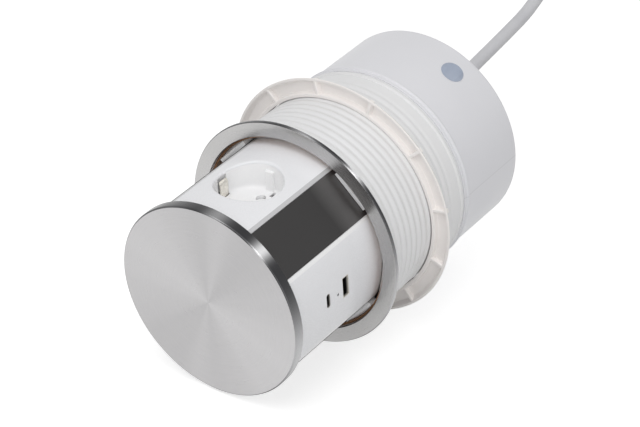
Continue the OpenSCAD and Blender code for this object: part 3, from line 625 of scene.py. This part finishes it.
def makeLid(spec):
    r, low, top, w = spec["radius"], spec["low"], spec["top"], spec["wall"]
    outline = rounded([(0, top, 0), (r, top, spec["edge"]), (r, low, 0.35), (r - w, low, 0.3),
                       (r - w, top - w, 0), (0, top - w, 0)], 6)
    across = [(outline[1][0] * k / spec["rings"], top) for k in range(1, spec["rings"])]
    obj = turned("lidPan", outline[:1] + across + outline[1:], 192)
    # the flat top gets the lid steel, the rest the rim steel with its painted reflection
    paint(obj, lidSteel, rimSteel)
    for face in obj.data.polygons:
        flat = face.normal.z > 0.97 and face.center.z > (top - 0.2) * mm
        face.material_index = 0 if flat else 1
    place(obj, "column", ("lid_plate",))


makeLid(lidSpec)


# desk ring, and the felt band in its bore
ringSpec = {"bore": 62.15, "radius": 71.45, "top": 2.1, "sheet": 1.1, "chamfer": 0.5}
feltSpec = {"inner": 60.7, "outer": 62.05, "low": -5.95, "top": -0.35}


def makeRing(spec):
    b, r, t, s, c = spec["bore"], spec["radius"], spec["top"], spec["sheet"], spec["chamfer"]
    obj = turned("deskRing", rounded([(b, t - s, 0.2), (b, t, 0.4), (r - c, t, 0.3), (r, t - c, 0.3),
                                      (r, 0, 0.15), (r - s, 0, 0.15), (r - s, t - s, 0.1)], 4), 192)
    # the top gets the ring steel, the walls and edges the rim steel with its painted reflection
    paint(obj, ringSteel, rimSteel)
    for face in obj.data.polygons:
        face.material_index = 0 if face.normal.z > 0.9 else 1
    place(obj, "housing", ("desk_ring",))


def makeFelt(spec):
    inner, outer, low, top = spec["inner"], spec["outer"], spec["low"], spec["top"]
    obj = turned("feltRing", rounded([(inner, low, 0.2), (inner, top, 0.4), (outer, top, 0.4), (outer, low, 0.2)], 3),
                 160)
    place(obj, "housing", ("felt_ring",), felt)


makeRing(ringSpec)
makeFelt(feltSpec)


# threaded sleeve: the thread runs round it as one helix
sleeveSpec = {"thread": 63.75, "pitch": 5.0, "depth": 0.7, "start": -5.0, "turns": 13, "perTurn": 12,
              "flange": 70.3, "flangeTop": 0.95, "bore": 62.15, "boreEnd": -10.0, "inner": 60.75,
              "edge": -79.0, "chamfer": 0.15, "spigot": 61.95, "spigotLong": 11, "bead": 1.3, "beadAt": 3.0}


def makeSleeve(spec):
    r, p, top = spec["thread"], spec["pitch"], spec["start"]
    low = top - p * spec["turns"]
    edge, c, end = spec["edge"], spec["chamfer"], spec["edge"] - spec["spigotLong"]
    outline = [(spec["bore"], spec["flangeTop"]), (spec["flange"], spec["flangeTop"]), (spec["flange"], 0.0),
               (r, 0.0), (r, -2.0)]
    steps = spec["perTurn"]
    outline += [(r, top - p * i / steps) for i in range(spec["turns"] * steps + 1)]
    outline += bead(r, edge + spec["beadAt"], spec["bead"], -1)
    outline += [(r, edge + c), (r - c, edge), (spec["spigot"], edge), (spec["spigot"], end), (spec["inner"], end),
                (spec["inner"], spec["boreEnd"]), (spec["bore"], spec["boreEnd"])]

    def helix(radius, height, angle):
        if abs(radius - r) > 0.01 or height > top or height < low:
            return radius
        fade = min(1.0, (top - height) / p, (height - low) / p)
        phase = (top - height) / p - angle / (2 * math.pi)
        return radius - spec["depth"] * fade * (0.5 - 0.5 * math.cos(2 * math.pi * phase))

    obj = turned("threadedSleeve", outline, 144, helix)
    shade(obj.data, 40)
    place(obj, "housing", ("threaded_sleeve",), sleevePlastic)


makeSleeve(sleeveSpec)


# lower housing with its bead and rounded end
housingSpec = {"radius": 64.25, "wall": 2.2, "top": -79.05, "end": -136.6, "floor": -133.6, "round": 3.0,
               "chamfer": 0.15, "bead": 1.3, "beadAt": 3.0}


def makeHousing(spec):
    r, end, top, c = spec["radius"], spec["end"], spec["top"], spec["chamfer"]
    z, inner = top - spec["beadAt"], r - spec["wall"]
    outline = rounded([(0, end, 0), (r, end, spec["round"]), (r, z - 8, 0)], 8)
    outline += bead(r, z, spec["bead"], 1)
    outline += [(r, top - c), (r - c, top), (inner, top), (inner, spec["floor"]), (0, spec["floor"])]
    obj = turned("lowerHousing", outline, 160)
    place(obj, "housing", ("lower_housing",), housingPlastic)


makeHousing(housingSpec)
labelPatch = softEdged("labelPatch", "label_disc", 0.08, 1)
place(labelPatch, "housing", ("label_disc",), labelFilm)


# Geometry Nodes: copies of the object's own mesh set round a circle, facing outwards
def ringOfCopies(name):
    tree = bpy.data.node_groups.new(name, "GeometryNodeTree")
    tree.is_modifier = True
    face = tree.interface
    for label, kind in (("Geometry", "Geometry"), ("Count", "Int"), ("Radius", "Float"), ("Turn", "Float"),
                        ("Centre", "Vector"), ("Material", "Material")):
        face.new_socket(label, in_out="INPUT", socket_type="NodeSocket" + kind)
    face.new_socket("Geometry", in_out="OUTPUT", socket_type="NodeSocketGeometry")
    given = addNode(tree, "NodeGroupInput").outputs
    circle = addNode(tree, "GeometryNodeMeshCircle", None, {"Vertices": given["Count"], "Radius": given["Radius"]})
    spot = addNode(tree, "GeometryNodeInputPosition")
    facing = addNode(tree, "FunctionNodeAlignRotationToVector", {"axis": "X"}, {"Vector": spot.outputs[0]})
    copies = addNode(tree, "GeometryNodeInstanceOnPoints", None,
                     {"Points": circle.outputs[0], "Instance": given["Geometry"], "Rotation": facing.outputs[0]})
    moved = addNode(tree, "GeometryNodeTransform", None,
                    {"Geometry": copies.outputs[0], "Translation": given["Centre"],
                     "Rotation": combined(tree, 0.0, 0.0, given["Turn"])})
    real = addNode(tree, "GeometryNodeRealizeInstances", None, {"Geometry": moved.outputs[0]})
    dressed = addNode(tree, "GeometryNodeSetMaterial", None,
                      {"Geometry": real.outputs[0], "Material": given["Material"]})
    addNode(tree, "NodeGroupOutput", None, {"Geometry": dressed.outputs[0]})
    return tree


copyRing = ringOfCopies("ringOfCopies")


def ringed(obj, values):
    mod = obj.modifiers.new("ring", "NODES")
    mod.node_group = copyRing
    for item in copyRing.interface.items_tree:
        if item.in_out == "INPUT" and item.name in values:
            mod[item.identifier] = values[item.name]
    applyAll(obj)
    shade(obj.data, 35)


# ring nut: collar, thin web and tapered rim in one section, with ribs between them
nutSpec = {"bore": 64.15, "collar": 2.4, "radius": 76.55, "rim": 1.6, "top": -44.0, "height": 8.0, "recess": 3.2,
           "web": 1.4, "taper": 0.87, "chamfer": 0.4, "step": 0.7, "ribs": 12, "ribWide": 2.0, "ribBelow": 0.2,
           "ribIn": 0.4, "ribDraft": 0.25, "ribEdge": 0.35, "ribTurn": math.radians(10)}


def makeNut(spec):
    top, low, b, r = spec["top"], spec["top"] - spec["height"], spec["bore"], spec["radius"]
    c, step = spec["chamfer"], spec["step"]
    collar, rim, web = b + spec["collar"], r - spec["rim"], top - spec["recess"]
    under = web - spec["web"]
    skirt = r - spec["taper"] * (top - c - under)
    outline = rounded([(b, low, 0.3), (collar, low, 0.5), (collar, under - step, 0.4), (collar + step, under, 0.4),
                       (skirt, under, 0.6), (r, top - c, 0.25), (r - c, top, 0.3), (rim, top, 0.4),
                       (rim - 2.0, web, 0.8), (collar + 0.3, web, 0.7), (collar, top, 0.6), (b, top, 0.5)], 4)
    obj = turned("ringNut", outline, 192)
    place(obj, "ring_nut", ("ring_nut",), nutPlastic)
    makeNutRibs(spec, collar, rim, web)


def makeNutRibs(spec, collar, rim, web):
    inner, outer = collar - spec["ribIn"], rim + spec["ribIn"]
    half, tall = (outer - inner) / 2, spec["recess"] - spec["ribBelow"]
    w = spec["ribWide"] / 2
    rib = bmesh.new()
    bmesh.ops.create_cube(rib, size=1.0)
    for v in rib.verts:
        wide = w if v.co.z > 0 else w + spec["ribDraft"]
        v.co = Vector((v.co.x * 2 * half, math.copysign(wide, v.co.y), (v.co.z + 0.5) * tall)) * mm
    bmesh.ops.bevel(rib, geom=[e for e in rib.edges if all(v.co.z > tall * mm * 0.9 for v in e.verts)],
                    offset=spec["ribEdge"] * mm, segments=2, affect="EDGES", profile=0.5)
    mesh = bpy.data.meshes.new("nutRibs")
    rib.to_mesh(mesh)
    rib.free()
    obj = addObject("nutRibs", mesh)
    ringed(obj, {"Count": spec["ribs"], "Radius": (inner + outer) / 2 * mm, "Turn": spec["ribTurn"],
                 "Centre": [0.0, 0.0, web * mm], "Material": nutPlastic})
    place(obj, "ring_nut")


makeNut(nutSpec)
print("lid, ring, sleeve, housing and nut made")


# guide collar: behind each pad a low ledge runs out to the felt
collarSpec = {"edge": 0.5, "back": 58.6, "reach": 60.45, "half": 12.5, "low": -6.2, "top": -2.0, "steps": 8}


def makeCollar(spec):
    obj = softEdged("guideCollar", "guide_collar", spec["edge"], 3)
    reach, back, half, steps = spec["reach"], spec["back"], spec["half"], spec["steps"]
    wide = math.asin(half / reach)
    arc = [(reach * math.cos(wide * k / steps), reach * math.sin(wide * k / steps)) for k in range(-steps, steps + 1)]
    outline = [(back, -half)] + arc + [(back, half)]
    turns = [Matrix.Rotation(math.radians(45 + 90 * k), 4, "Z") for k in range(4)]
    drill(obj, [cutter("ledge", outline, spec["low"], spec["top"], turn) for turn in turns], "UNION")
    shade(obj.data, 35)
    # the collar gets the lighter plastic: painted light in the ring's shade
    place(obj, "housing", ("guide_collar",), paintedLightPlastic)


makeCollar(collarSpec)


# white face plates; a plate's own axes are across, up and out of the face
faceSpec = {"dist": 56.2, "half": 28.4, "low": -10.3, "high": 74.5, "thick": 3.0, "bevel": 2.3, "sink": 1.1,
            "crown": 5.2, "round": 80.7}
wellSpec = {"z": 37.2, "radius": 19.5, "depth": 17.5, "lip": 1.6, "wall": 1.6, "floor": 1.6, "foot": 3.0,
            "steps": 120, "plateRings": 6, "lipSteps": 8, "footSteps": 5, "floorRings": (14, 7, 0.5),
            "keyWide": 5.4, "keyIn": 2.0, "keyTop": 5.0, "keyEdge": 0.7,
            "pinPitch": 19.0, "pinHole": 5.8, "clipWide": 7.0, "clipAt": 18.7,
            "pocketTop": 4.2, "pocketIn": 1.2, "pocketOut": 2.0, "pocketPlay": 0.5,
            "reliefWide": 2.0, "reliefLong": 4.2, "reliefIn": 4.2, "reliefUp": 2.0}


# how far a crowned face, or the back of its plate, has fallen at this place across it
def crownDrop(x, inside=0.0):
    reach = faceSpec["round"] - inside
    flat = faceSpec["half"] - faceSpec["bevel"]
    return reach - math.sqrt(reach ** 2 - min(abs(x), flat) ** 2)


def plateBack(x):
    return -min(faceSpec["crown"] + faceSpec["thick"], faceSpec["thick"] + crownDrop(x, faceSpec["thick"]))


def faceMatrix(angle, height):
    out = Vector((math.cos(angle), math.sin(angle), 0))
    across = Vector((-math.sin(angle), math.cos(angle), 0))
    turn = Matrix((across, Vector((0, 0, 1)), out)).transposed().to_4x4()
    return Matrix.Translation(out * faceSpec["dist"] * mm + Vector((0, 0, height * mm))) @ turn


# rings from the plate's back over its edge and face into the well, and round the cup to the back
def plateRings(f, w):
    half, bevel, depth = f["half"], f["bevel"], w["depth"]
    low, high = f["low"] - w["z"], f["high"] - w["z"]
    angles = [2 * math.pi * k / w["steps"] for k in range(w["steps"])]
    angles += [math.atan2(y, x) % (2 * math.pi) for x in (-half, half) for y in (low, high)]
    angles = sorted(angles)
    tiny, far = 1e-9, 1e9

    def edge(a):
        c, s = math.cos(a), math.sin(a)
        toSide = half / abs(c) if abs(c) > tiny else far
        toEnd = (high if s > 0 else low) / s if abs(s) > tiny else far
        reach = min(toSide, toEnd)
        return c * reach, s * reach

    def border(inset, sink=None):
        ring = []
        for a in angles:
            x, y = edge(a)
            x = max(-half + inset, min(half - inset, x))
            ring.append((x, y, plateBack(x) if sink is None else -crownDrop(x) - sink))
        return ring

    def circle(r, z, crowned=False):
        ring = []
        for a in angles:
            x = r * math.cos(a)
            ring.append((x, r * math.sin(a), z - crownDrop(x) if crowned else z))
        return ring

    outer, inner = border(bevel, 0), circle(w["radius"] + w["lip"], 0, True)
    rings = [border(0), border(0, f["sink"]), outer]
    for k in range(1, w["plateRings"]):
        ring = []
        for p, q in zip(outer, inner):
            x, y = (p[i] + (q[i] - p[i]) * k / w["plateRings"] for i in (0, 1))
            ring.append((x, y, -crownDrop(x)))
        rings.append(ring)
    lip, foot = w["lip"], w["foot"]
    for k in range(w["lipSteps"] + 1):
        t = math.radians(90 - 90 / w["lipSteps"] * k)
        rings.append(circle(w["radius"] + lip * (1 - math.cos(t)), -lip * (1 - math.sin(t)), True))
    for k in range(w["footSteps"] + 1):
        t = math.radians(90 / w["footSteps"] * k)
        rings.append(circle(w["radius"] - foot * (1 - math.cos(t)), -depth + foot * (1 - math.sin(t))))
    rings += [circle(r, -depth) for r in w["floorRings"]]
    back, cup = depth + w["floor"], w["radius"] + w["wall"]
    rings += [circle(w["floorRings"][-1], -back), circle(cup, -back)]
    rings.append([(x, y, plateBack(x)) for x, y, z in circle(cup, 0)])
    return rings


def plateMesh(name, f, w):
    rings = plateRings(f, w)
    count = len(rings[0])
    cap = len(rings) - 4  # the floor's and the back's smallest rings stay apart and are capped
    faces = []
    for r in range(len(rings)):
        if r == cap:
            continue
        n = (r + 1) % len(rings)
        for i in range(count):
            j = (i + 1) % count
            faces.append((r * count + i, r * count + j, n * count + j, n * count + i))
    faces.append(tuple(cap * count + i for i in range(count)))
    faces.append(tuple((cap + 1) * count + i for i in range(count))[::-1])
    mesh = meshFrom(name, [p for ring in rings for p in ring], faces)
    outward(mesh)
    return mesh


# pin holes, pockets for the earth clips and reliefs beside the guide keys
def wellCutters(w, matrix):
    under = -w["depth"] - w["floor"] - 1
    pinTop = -10
    tools = []
    for s in (-1, 1):
        pin = circleOutline(0, s * w["pinPitch"] / 2, w["pinHole"] / 2)
        tools.append(cutter("pinCut", pin, under, pinTop, matrix))
        x0, x1 = sorted((s * (w["clipAt"] - w["pocketIn"]), s * (w["clipAt"] + w["pocketOut"])))
        wide = w["clipWide"] / 2 + w["pocketPlay"]
        tools.append(cutter("clipCut", boxOutline(x0, x1, -wide, wide), under, -w["pocketTop"], matrix))
        halfX, halfY = w["reliefWide"] / 2, w["reliefLong"] / 2
        x, y = s * (w["keyWide"] / 2 + halfX), s * (w["radius"] - w["reliefIn"])
        slot = boxOutline(x - halfX, x + halfX, y - halfY, y + halfY)
        tools.append(cutter("reliefCut", slot, under, -w["depth"] + w["reliefUp"], matrix))
    return tools


def addGuideKeys(mesh, w, matrix):
    bm = bmesh.new()
    bm.from_mesh(mesh)
    for s in (-1, 1):
        half, near, far = w["keyWide"] / 2, s * (w["radius"] - w["keyIn"]), s * (w["radius"] + 0.4)
        outline = rounded([(half, far, 0), (half, near, w["keyEdge"]), (-half, near, w["keyEdge"]), (-half, far, 0)], 4)
        key = prism("guideKey", outline, -w["depth"] - 0.5, -w["keyTop"], matrix)
        bm.from_mesh(key)
        bpy.data.meshes.remove(key)
    bm.to_mesh(mesh)
    bm.free()


def socketPlate(name, angle, node):
    f, w = faceSpec, wellSpec
    matrix = faceMatrix(angle, w["z"])
    mesh = plateMesh(name, f, w)
    mesh.transform(matrix)
    obj = addObject(name, mesh)
    drill(obj, wellCutters(w, matrix))
    addGuideKeys(obj.data, w, matrix)
    shade(obj.data, 30)
    # the well's faces get the lighter plastic, painted light; the chamfers the darker one, painted shade
    paint(obj, facePlastic, paintedLightPlastic, shadedEdgePlastic)
    toPlate = matrix.inverted()
    for part in obj.data.polygons:
        x, y, z = toPlate @ part.center / mm
        if math.hypot(x, y) < w["radius"] + 0.2 and z < -w["lip"] - crownDrop(x):
            part.material_index = 1
        elif abs(x) > f["half"] - f["bevel"]:
            part.material_index = 2
    place(obj, "column", (node,))


# earth strap: one strip bent behind the well's floor, its two clips sprung a little inwards
# leg: how far each bend lies outside the clip's line, and how deep
strapSpec = {"thick": 0.8, "tip": 0.8, "edge": 0.12,
             "leg": ((0.7, 6.4), (0.35, 7.0), (-0.15, 8.0), (-0.35, 9.4), (-0.3, 11.2), (-0.1, 13.5), (0, 16.0),
                     (0, 20.2), (-0.25, 21.4), (-0.9, 21.8))}


def earthStrap(name, angle, node):
    w = wellSpec
    out = w["clipAt"] - strapSpec["thick"] / 2
    leg = [(out + aside, depth) for aside, depth in strapSpec["leg"]]
    line = leg + [(-x, depth) for x, depth in reversed(leg)]
    points, faces = [], []
    for i, (x, depth) in enumerate(line):
        half = w["clipWide"] / 2 * (1.0 if 0 < i < len(line) - 1 else strapSpec["tip"])
        points += [(x, -half, -depth), (x, half, -depth)]
    for i in range(len(line) - 1):
        faces.append((2 * i, 2 * i + 1, 2 * i + 3, 2 * i + 2))
    mesh = meshFrom(name, points, faces)
    mesh.transform(faceMatrix(angle, w["z"]))
    obj = addObject(name, mesh)
    wall = obj.modifiers.new("sheet", "SOLIDIFY")
    wall.thickness = strapSpec["thick"] * mm
    wall.offset = 0
    bevelEdges(obj, strapSpec["edge"], 2, 50)
    applyAll(obj)
    shade(obj.data, 40)
    place(obj, "column", (node,), clipSteel)


for side, angle in (("front", 0.0), ("back", math.pi), ("left", math.pi / 2)):
    socketPlate("socketPlate." + side, angle, "socket_" + side)
    earthStrap("earthStrap." + side, angle, "earth_strap_" + side)
    paint(nodes["socket_carrier_" + side], greyPlastic)
    paint(nodes["contact_sleeves_" + side], brass)
    # the shutters get the lighter plastic: painted light in their holes' shade
    paint(nodes["shutter_" + side], paintedLightPlastic)
print("mains sockets made")


# USB side; a port is given by its height on the column, width, opening and corner radius, the light by its circle
usbSpec = {"large": (29.0, 13.4, 6.0, 0.5), "small": (45.5, 9.2, 3.5, 1.7), "light": (-1.2, 36.5, 0.9),
           "cutFrom": -9, "cutTo": 2, "steps": 16}


def slotOutline(z, wide, high, radius):
    return rounded([(x, y, radius) for x, y in boxOutline(-wide / 2, wide / 2, z - high / 2, z + high / 2)], 6)


def usbPlate(spec):
    f = faceSpec
    matrix = faceMatrix(-math.pi / 2, 0)
    half, flat = f["half"], f["half"] - f["bevel"]
    sweep = [flat * k / spec["steps"] for k in range(-spec["steps"], spec["steps"] + 1)]
    edge = [(half, -crownDrop(half) - f["sink"]), (half, plateBack(half))]
    outline = [(x, -crownDrop(x)) for x in sweep] + edge
    outline += [(x, plateBack(x)) for x in reversed(sweep[2:-2])] + [(-x, z) for x, z in reversed(edge)]
    obj = addObject("usbPlate", drawnOut("usbPlate", [(x, f["low"], z) for x, z in outline], 1, f["high"], matrix))
    openings = slotOutline(*spec["large"]), slotOutline(*spec["small"]), circleOutline(*spec["light"], 24)
    drill(obj, [cutter("cut", opening, spec["cutFrom"], spec["cutTo"], matrix) for opening in openings])
    shade(obj.data, 12)
    # the chamfers get the lighter plastic: painted highlight
    paint(obj, facePlastic, paintedLightPlastic)
    toPlate = matrix.inverted()
    for part in obj.data.polygons:
        part.material_index = 1 if abs((toPlate @ part.center).x) > flat * mm else 0
    place(obj, "column", ("usb_plate",))


usbPlate(usbSpec)
paint(nodes["usb_a_shell"], largePortSteel)
paint(nodes["usb_c_shell"], smallPortSteel)
for name in ("usb_a_tongue", "usb_c_tongue", "usb_transformer"):
    paint(nodes[name], blackPlastic)
paint(nodes["led_pipe"], lightPipe)
paint(nodes["usb_board"], boardGreen)


# steel corner panels, a little wider than their solids, up to the plates' chamfers
panelSpec = {"wider": 0.7, "nodes": {
    "frontRightPanel": "corner_panel_fr", "frontLeftPanel": "corner_panel_fl",
    "backLeftPanel": "corner_panel_bl", "backRightPanel": "corner_panel_br"}}


def cornerPanel(name, node, wider):
    spots = [v.co / mm for v in nodes[node].data.vertices]
    middle = sum(spots, Vector()) / len(spots)
    turn = Matrix.Rotation(math.atan2(middle.y, middle.x) - math.pi / 4, 4, "Z")
    spots = [turn.inverted() @ p for p in spots]
    front, back = max(p.x + p.y for p in spots), min(p.x + p.y for p in spots)
    edge = min(p.x for p in spots) - wider
    outline = [(front - edge, edge), (edge, front - edge), (edge, back - edge), (back - edge, edge)]
    heights = [p.z for p in spots]
    obj = addObject(name, prism(name, outline, min(heights), max(heights), turn))
    shade(obj.data, 30)
    place(obj, "column", (node,), panelSteel)


for name, node in panelSpec["nodes"].items():
    cornerPanel(name, node, panelSpec["wider"])
print("USB side and steel panels dressed")


# strain relief under the housing, with bending grooves
bootSpec = {"at": (-20.0, 30.0), "top": -136.65, "end": -168.0, "headTop": -131.15, "headLow": -133.55,
            "head": 6.2, "neck": 5.5, "flange": 9.0, "grooves": 6, "wide": 7.3, "narrow": 5.55, "tip": 5.45}


def makeBoot(spec):
    top, end = spec["top"], spec["end"]
    head, neck, flange = spec["head"], spec["neck"], spec["flange"]
    outline = [(0, spec["headTop"], 0), (head, spec["headTop"], 0.4), (head, spec["headLow"], 0.3),
               (neck, spec["headLow"], 0), (neck, top, 0), (flange, top, 0.3), (flange, top - 3.4, 1.0),
               (7.5, top - 4.8, 0.6)]
    zFrom, zTo = top - 7.0, end + 4.0
    for k in range(spec["grooves"]):
        t = k / spec["grooves"]
        r = spec["wide"] + (spec["narrow"] - spec["wide"]) * t
        outline += groove(r, zFrom + (zTo - zFrom) * t, 0.9, 2.0, -0.15, 0.25)
    outline += [(spec["tip"], end, 0.4), (0, end, 0)]
    obj = turned("strainRelief", rounded(outline, 3), 64, at=spec["at"])
    place(obj, "housing", ("cord_gland",), sheath)


makeBoot(bootSpec)


# lifting spring and the lead that follows the column; the real ones squeeze as it goes down, these keep one length
# straight: the shares of its height at the lower and upper end where the path only rises
springSpec = {"radius": 16.0, "turns": 12, "low": -132.45, "high": -15.45, "perTurn": 24, "start": 0.0,
              "soft": False, "straight": (0.0, 0.0), "wire": 1.1, "sides": 10}
leadSpec = {"radius": math.hypot(20, 30), "turns": 3, "low": -131.1, "high": -11.3, "perTurn": 40,
            "start": math.atan2(30, -20), "soft": True, "straight": (0.0751, 0.08), "wire": 3.25, "sides": 12}


def helixTube(name, spec):
    radius, turns, low, high = spec["radius"], spec["turns"], spec["low"], spec["high"]
    count = round(turns * spec["perTurn"])
    path, refs = [], []
    for i in range(count + 1):
        t = i / count
        u = min(1.0, max(0.0, t - spec["straight"][0]) / (1 - sum(spec["straight"])))
        slow = math.sin(2 * math.pi * u) / (2 * math.pi) if spec["soft"] else 0
        a = spec["start"] + 2 * math.pi * turns * (u - slow)
        refs.append((math.cos(a), math.sin(a), 0))
        path.append((radius * math.cos(a), radius * math.sin(a), low + (high - low) * t))
    return tubeMesh(name, path, refs, spec["wire"], spec["sides"])


spring = helixTube("liftingSpring", springSpec)
place(spring, "housing", ("main_spring",), clipSteel)
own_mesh(spring)
innerLead = helixTube("innerLead", leadSpec)
place(innerLead, "housing", ("inner_lead",), sheath)
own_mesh(innerLead)


# pieces inside, and the small ones that stay as the CAD made them
for mat, names in ((whitePlastic, ("lid_core", "column_foot", "terminal_block")),
                   (greyPlastic, ("column_frame", "touch_latch", "latch_plunger", "cord_clamp")),
                   (clipSteel, ("lid_screws", "foot_screws", "latch_strike", "terminal_screws", "clamp_screws",
                                "usb_screws"))):
    for name in names:
        paint(nodes[name], mat)
print("inner pieces dressed")


# stage: the white table that the object lies on, seen from its upper side only
stageSpec = {"normal": (0.9916, 0.0, -0.1287), "dist": -0.0713, "size": 6.0, "glow": 0.68, "albedo": 0.62}
worldSpec = {"ambient": 0.54}


# 1 for rays that look, straight or by way of mirror and glass, and 0 for those that light
def lookingRays(tree):
    rays = addNode(tree, "ShaderNodeLightPath").outputs
    byWay = mathNode(tree, "MAXIMUM", rays["Is Glossy Ray"], rays["Is Transmission Ray"])
    return mathNode(tree, "MAXIMUM", rays["Is Camera Ray"], byWay)


def makeFloor(spec):
    n = Vector(spec["normal"]).normalized()
    middle = n * spec["dist"]
    u = n.cross(Vector((0, 1, 0))).normalized()
    v = n.cross(u)
    s = spec["size"] / 2
    mesh = bpy.data.meshes.new("table")
    corners = [middle + u * a * s + v * b * s for a, b in ((-1, -1), (1, -1), (1, 1), (-1, 1))]
    mesh.from_pydata(corners, [], [(0, 1, 2, 3)])
    if mesh.polygons[0].normal.dot(n) < 0:
        mesh.flip_normals()
    obj = addObject("table", mesh)
    mat = bpy.data.materials.new("tableTop")
    mat.use_nodes = True
    tree = mat.node_tree
    tree.nodes.clear()
    grey = spec["albedo"]
    plain = addNode(tree, "ShaderNodeBsdfDiffuse", None, {"Color": (grey, grey, grey, 1)})
    strength = times(tree, lookingRays(tree), spec["glow"])
    glow = addNode(tree, "ShaderNodeEmission", None, {"Strength": strength})
    lit = addNode(tree, "ShaderNodeAddShader", None, {0: plain.outputs[0], 1: glow.outputs[0]})
    clear = addNode(tree, "ShaderNodeBsdfTransparent")
    back = addNode(tree, "ShaderNodeNewGeometry").outputs["Backfacing"]
    mixed = addNode(tree, "ShaderNodeMixShader", None, {0: back, 1: lit.outputs[0], 2: clear.outputs[0]})
    addNode(tree, "ShaderNodeOutputMaterial", None, {"Surface": mixed.outputs[0]})
    paint(obj, mat)


def makeWorld(spec):
    world = bpy.data.worlds.new("studio")
    scene.world = world
    world.use_nodes = True
    tree = world.node_tree
    tree.nodes.clear()
    ambient = spec["ambient"]
    strength = mathNode(tree, "ADD", ambient, times(tree, lookingRays(tree), 1.0 - ambient))
    sky = addNode(tree, "ShaderNodeBackground", None, {"Color": (1, 1, 1, 1), "Strength": strength})
    addNode(tree, "ShaderNodeOutputWorld", None, {"Surface": sky.outputs[0]})


makeFloor(stageSpec)
makeWorld(worldSpec)


# soft lamps, turned towards the origin
lampSpec = {
    "key": {"spot": (1.0, -0.15, 0.45), "size": 0.9, "power": 4.7},
    "fill": {"spot": (0.08, -0.85, 0.65), "size": 0.9, "power": 3.4},
}


def makeLamp(name, spec):
    data = bpy.data.lights.new(name, "AREA")
    data.shape = "SQUARE"
    data.size = spec["size"]
    data.energy = spec["power"]
    obj = addObject(name, data)
    turn = (-Vector(spec["spot"])).to_track_quat("-Z", "Y").to_matrix().to_4x4()
    obj.matrix_world = Matrix.Translation(spec["spot"]) @ turn


for name, spec in lampSpec.items():
    makeLamp(name, spec)
print("stage and lamps set")
